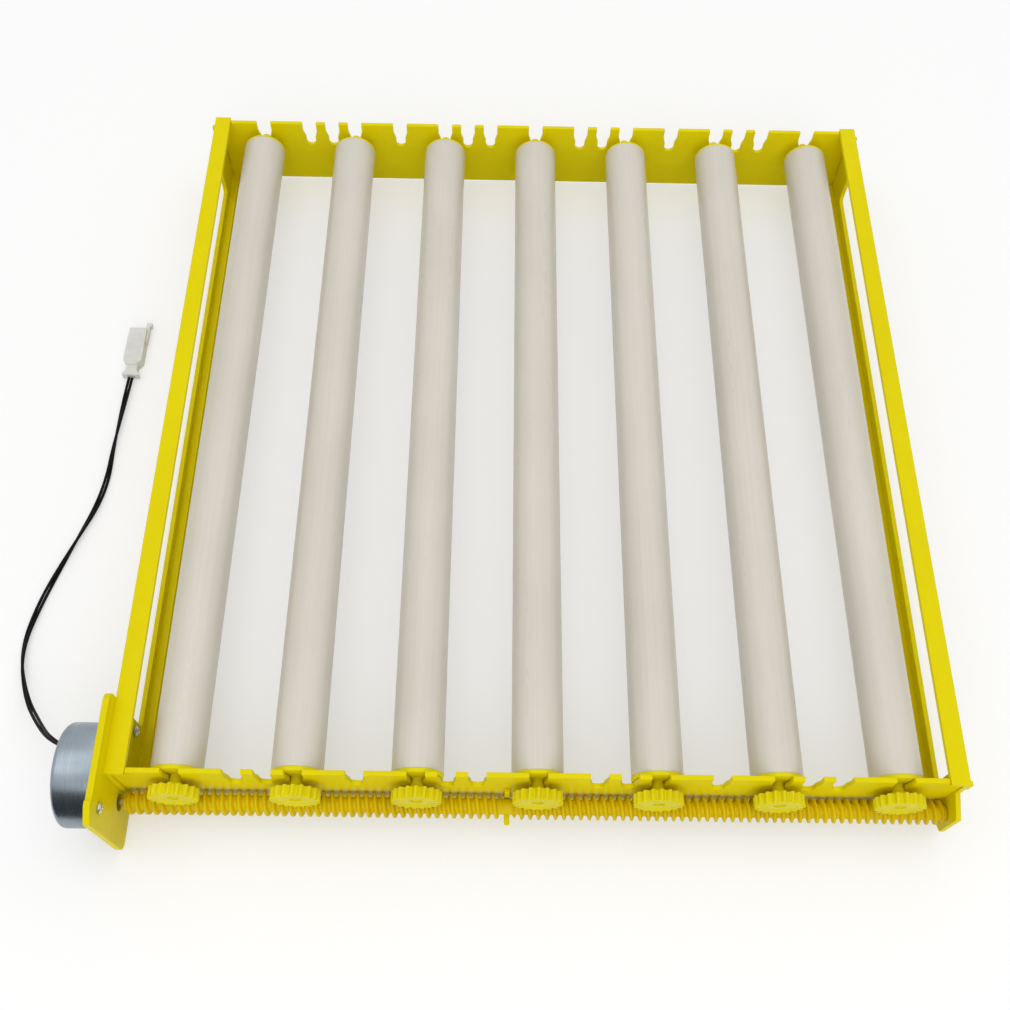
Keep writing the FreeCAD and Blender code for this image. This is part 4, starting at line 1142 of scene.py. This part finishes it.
# --------------------------------------------------------------------------- rollers
@dataclass
class Rollers:
    """The seven tubes with their front gear caps and rear caps."""

    paints: Paints
    count: int = 7
    teeth: int = 17
    tooth_pitch: float = 4.0 * MM
    addendum: float = 0.95 * MM
    dedendum: float = 1.2 * MM
    tooth_half_angle: float = 2.2
    foot_half_angle: float = 8.0
    helix_slope: float = 0.131
    rim_share: float = 0.965
    gear_width: float = 5.2 * MM
    gear_soft: float = 0.35 * MM
    tip_gap: float = 0.02 * MM
    cut_past: float = 0.01 * MM
    dish: float = 0.6 * MM
    rim: float = 2.9 * MM
    recess: float = 2.7 * MM
    recess_depth: float = 1.6 * MM
    cone: float = 5.5 * MM
    cone_soft: float = 0.6 * MM
    neck: float = 2.8 * MM
    neck_soft: float = 0.5 * MM
    wall_gap: float = 0.3 * MM
    tube_radius: float = 12.25 * MM
    tube_bore: float = 10.95 * MM
    tube_soft: float = 0.3 * MM
    tube_steps: int = 8
    plug_bore: float = 9.35 * MM
    plug_length: float = 12.0 * MM
    plug_soft: float = 0.5 * MM
    plug_floor: float = 0.2 * MM
    rear_collar: float = 1.2 * MM
    rear_collar_soft: float = 0.35 * MM
    rear_seam_soft: float = 0.2 * MM
    front_collar_soft: float = 0.4 * MM
    collar_foot_soft: float = 0.3 * MM
    soft: float = 0.25 * MM
    gear_segments: int = 204
    tube_segments: int = 96
    rear_segments: int = 72

    @property
    def gear_radius(self) -> float:
        """Pitch radius of the gear."""
        return self.teeth * self.tooth_pitch / (2 * math.pi)

    @property
    def tip(self) -> float:
        """Radius over the gear's teeth."""
        return self.gear_radius + self.addendum

    def tooth_tree(self) -> GeometryTree:
        """Cuts tooth gaps into the rim of a turned blank.

        Returns:
            The tree, which takes the blank.
        """
        tree = GeometryTree("roller_gear_teeth")
        count, tip, root = tree.inputs("Teeth", "Tip Radius", "Root Radius")
        crest_half, foot_half = tree.inputs("Crest Half Angle", "Foot Half Angle")
        centre_x, centre_y, centre_z = tree.inputs("Centre X", "Centre Y", "Centre Z")
        slope, back = tree.inputs("Helix Slope", "Rim Back")
        x, y, z = tree.split(tree.node("GeometryNodeInputPosition").outputs[0])
        side, up = tree.minus(x, centre_x), tree.minus(z, centre_z)
        radius = tree.maths("SQRT", tree.plus(tree.times(side, side), tree.times(up, up)))
        angle = tree.maths("ARCTAN2", side, tree.times(up, -1.0))
        twist = tree.over(tree.times(tree.minus(y, centre_y), slope), tip)
        step = tree.over(2 * math.pi, count)
        share = tree.over(tree.plus(angle, twist), step)
        off = tree.minus(tree.maths("FLOORED_MODULO", share, 1.0), 0.5)
        away = tree.times(tree.maths("ABSOLUTE", off), step)
        depth = tree.remap(away, crest_half, foot_half, 0.0, tree.minus(tip, root), smooth=True)
        on_rim = tree.maths("GREATER_THAN", radius, tree.times(root, self.rim_share))
        on_gear = tree.times(on_rim, tree.maths("LESS_THAN", y, back))
        left = tree.minus(1.0, tree.over(tree.times(depth, on_gear), radius))
        new_x = tree.plus(centre_x, tree.times(side, left))
        new_z = tree.plus(centre_z, tree.times(up, left))
        cut = {"Geometry": tree.base, "Position": tree.combine(new_x, y, new_z)}
        moved = tree.node("GeometryNodeSetPosition", cut)
        tree.close(moved.outputs[0], self.paints.by_slot["cap_plastic"])
        return tree

    def gear_blank(self, number: int) -> bpy.types.Object:
        """The turned blank of one front cap, from the gear's face to the plug.

        Args:
            number: the roller's number.

        Returns:
            The blank, with a plain rim where the teeth will be.
        """
        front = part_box("gear_cap_%d" % number)[0].y
        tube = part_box("roller_tube_%d" % number)[0].y
        wall_front, wall_back = (corner.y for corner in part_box("front_wall"))
        back = front + self.gear_width
        crest, rim = self.tip - self.tip_gap, self.tip - self.rim
        collar = wall_back + self.wall_gap
        plug_end, plug_floor = tube + self.plug_length, tube + self.plug_floor
        profile = [
            (front + self.recess_depth, 0, 0),
            (front + self.recess_depth, self.recess, self.soft),
            (front + self.dish, self.recess, self.soft),
            (front + self.dish, rim - self.dish, self.soft),
            (front, rim, self.soft),
            (front, crest, self.gear_soft),
            (back, crest, self.gear_soft),
            (back, self.cone, self.cone_soft),
            (wall_front - self.wall_gap, self.neck, self.neck_soft),
            (collar, self.neck, self.collar_foot_soft),
            (collar, self.tube_radius, self.front_collar_soft),
            (tube, self.tube_radius, self.soft),
            (tube, self.tube_bore, 0),
            (plug_end, self.tube_bore, self.plug_soft),
            (plug_end, self.plug_bore, self.soft),
            (plug_floor, self.plug_bore, self.soft),
            (plug_floor, 0, 0)]
        centre = node_centre("roller_tube_%d" % number)
        turned = lathe(Axis.Y, centre, eased(profile), self.gear_segments)
        return new_piece("gear_cap_%d_moulding" % number, turned)

    def add_gear_cap(self, tree: GeometryTree, number: int) -> None:
        """Makes and mounts one front cap.

        Args:
            tree: the tree that cuts the teeth.
            number: the roller's number.
        """
        centre = node_centre("roller_tube_%d" % number)
        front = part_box("gear_cap_%d" % number)[0].y
        piece = tree.grow(self.gear_blank(number), {
            "Teeth": float(self.teeth), "Tip Radius": self.tip,
            "Root Radius": self.gear_radius - self.dedendum,
            "Crest Half Angle": math.radians(self.tooth_half_angle),
            "Foot Half Angle": math.radians(self.foot_half_angle),
            "Centre X": centre.x, "Centre Y": front + self.gear_width / 2, "Centre Z": centre.z,
            "Helix Slope": self.helix_slope, "Rim Back": front + self.gear_width + self.cut_past})
        mount(piece, "gear_cap_%d" % number)

    def add_tube(self, number: int) -> None:
        """Makes and mounts one tube.

        Args:
            number: the roller's number.
        """
        node = "roller_tube_%d" % number
        start, end = (corner.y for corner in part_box(node))
        profile = eased([
            (start, self.tube_bore, 0), (start, self.tube_radius, self.tube_soft),
            (end, self.tube_radius, self.tube_soft), (end, self.tube_bore, 0)])
        middle = [(start + (end - start) * step / self.tube_steps, self.tube_radius)
                  for step in range(1, self.tube_steps)]
        cut = len(profile) // 2
        stations = profile[:cut] + middle + profile[cut:]
        turned = lathe(Axis.Y, node_centre(node), stations, self.tube_segments, True)
        self.paints.mount_dressed(new_piece(node + "_extrusion", turned), node)

    def add_rear_cap(self, number: int) -> None:
        """Makes and mounts one rear cap.

        Args:
            number: the roller's number.
        """
        node = "rear_cap_%d" % number
        plug_start, neck_end = (corner.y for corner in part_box(node))
        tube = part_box("roller_tube_%d" % number)[1].y
        plug_floor, collar = tube - self.plug_floor, tube + self.rear_collar
        profile = [
            (plug_floor, 0, 0),
            (plug_floor, self.plug_bore, self.soft),
            (plug_start, self.plug_bore, self.soft),
            (plug_start, self.tube_bore, self.plug_soft),
            (tube, self.tube_bore, 0),
            (tube, self.tube_radius, self.rear_seam_soft),
            (collar, self.tube_radius, self.rear_collar_soft),
            (collar, self.neck, self.collar_foot_soft),
            (neck_end, self.neck, self.neck_soft),
            (neck_end, 0, 0)]
        turned = lathe(Axis.Y, node_centre(node), eased(profile), self.rear_segments)
        self.paints.mount_dressed(new_piece(node + "_moulding", turned), node)

    def build(self) -> None:
        """Makes all seven rollers."""
        tree = self.tooth_tree()
        for number in range(1, self.count + 1):
            self.add_tube(number)
            self.add_gear_cap(tree, number)
            self.add_rear_cap(number)


# --------------------------------------------------------------------------- motor
@dataclass
class Motor:
    """The steel can and what is fixed to it."""

    paints: Paints
    wall: float = 0.8 * MM
    corner: float = 2.6 * MM
    mouth_soft: float = 0.2 * MM
    press_radius: float = 15.0 * MM
    press_width: float = 3.0 * MM
    press_slope: float = 1.2 * MM
    press_depth: float = 0.5 * MM
    press_soft: float = 0.5 * MM
    segments: int = 128
    outside_steps: int = 6
    inside_steps: int = 5
    edges: tuple[tuple[str, float], ...] = (
        ("motor_flange", 0.15 * MM), ("motor_screws", 0.12 * MM), ("motor_grommet", 0.3 * MM))

    def add_can(self) -> None:
        """A drawn cup with a rounded end and a pressed ring."""
        low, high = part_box("motor_can")
        mouth, end = high.x, low.x
        radius = (high.y - low.y) / 2
        bore, inner = radius - self.wall, end + self.wall
        dent = end + self.press_depth
        outside = [
            (mouth, bore, 0),
            (mouth, radius, self.mouth_soft),
            (end, radius, self.corner),
            (end, self.press_radius + self.press_slope, self.press_soft),
            (dent, self.press_radius, self.press_soft),
            (dent, self.press_radius - self.press_width, self.press_soft),
            (end, self.press_radius - self.press_width - self.press_slope, self.press_soft),
            (end, 0, 0)]
        inside = [(inner, 0, 0), (inner, bore, self.corner - self.wall), (mouth, bore, 0)]
        stations = eased(outside, self.outside_steps) + eased(inside, self.inside_steps)[:-1]
        turned = lathe(Axis.X, node_centre("motor_can"), stations, self.segments, True)
        self.paints.mount_dressed(new_piece("motor_can_drawn", turned, CRISP_CAN_ANGLE), "motor_can")

    def build(self) -> None:
        """Makes the can and rounds the edges of what is fixed to it."""
        self.add_can()
        for node, edge in self.edges:
            self.paints.mount_dressed(edged_copy(node, node + "_edged", edge), node)


def main() -> None:
    """Builds the scene."""
    logging.basicConfig(level=logging.INFO, format="%(name)s: %(message)s")
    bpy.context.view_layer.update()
    Studio().build()
    paints = Paints(FINISHES)
    paints.dress_solids()
    for assembly in (Lead, TrayFrame, Worm, Rollers, Motor):
        assembly(paints).build()


if __name__ == "__main__":
    main()
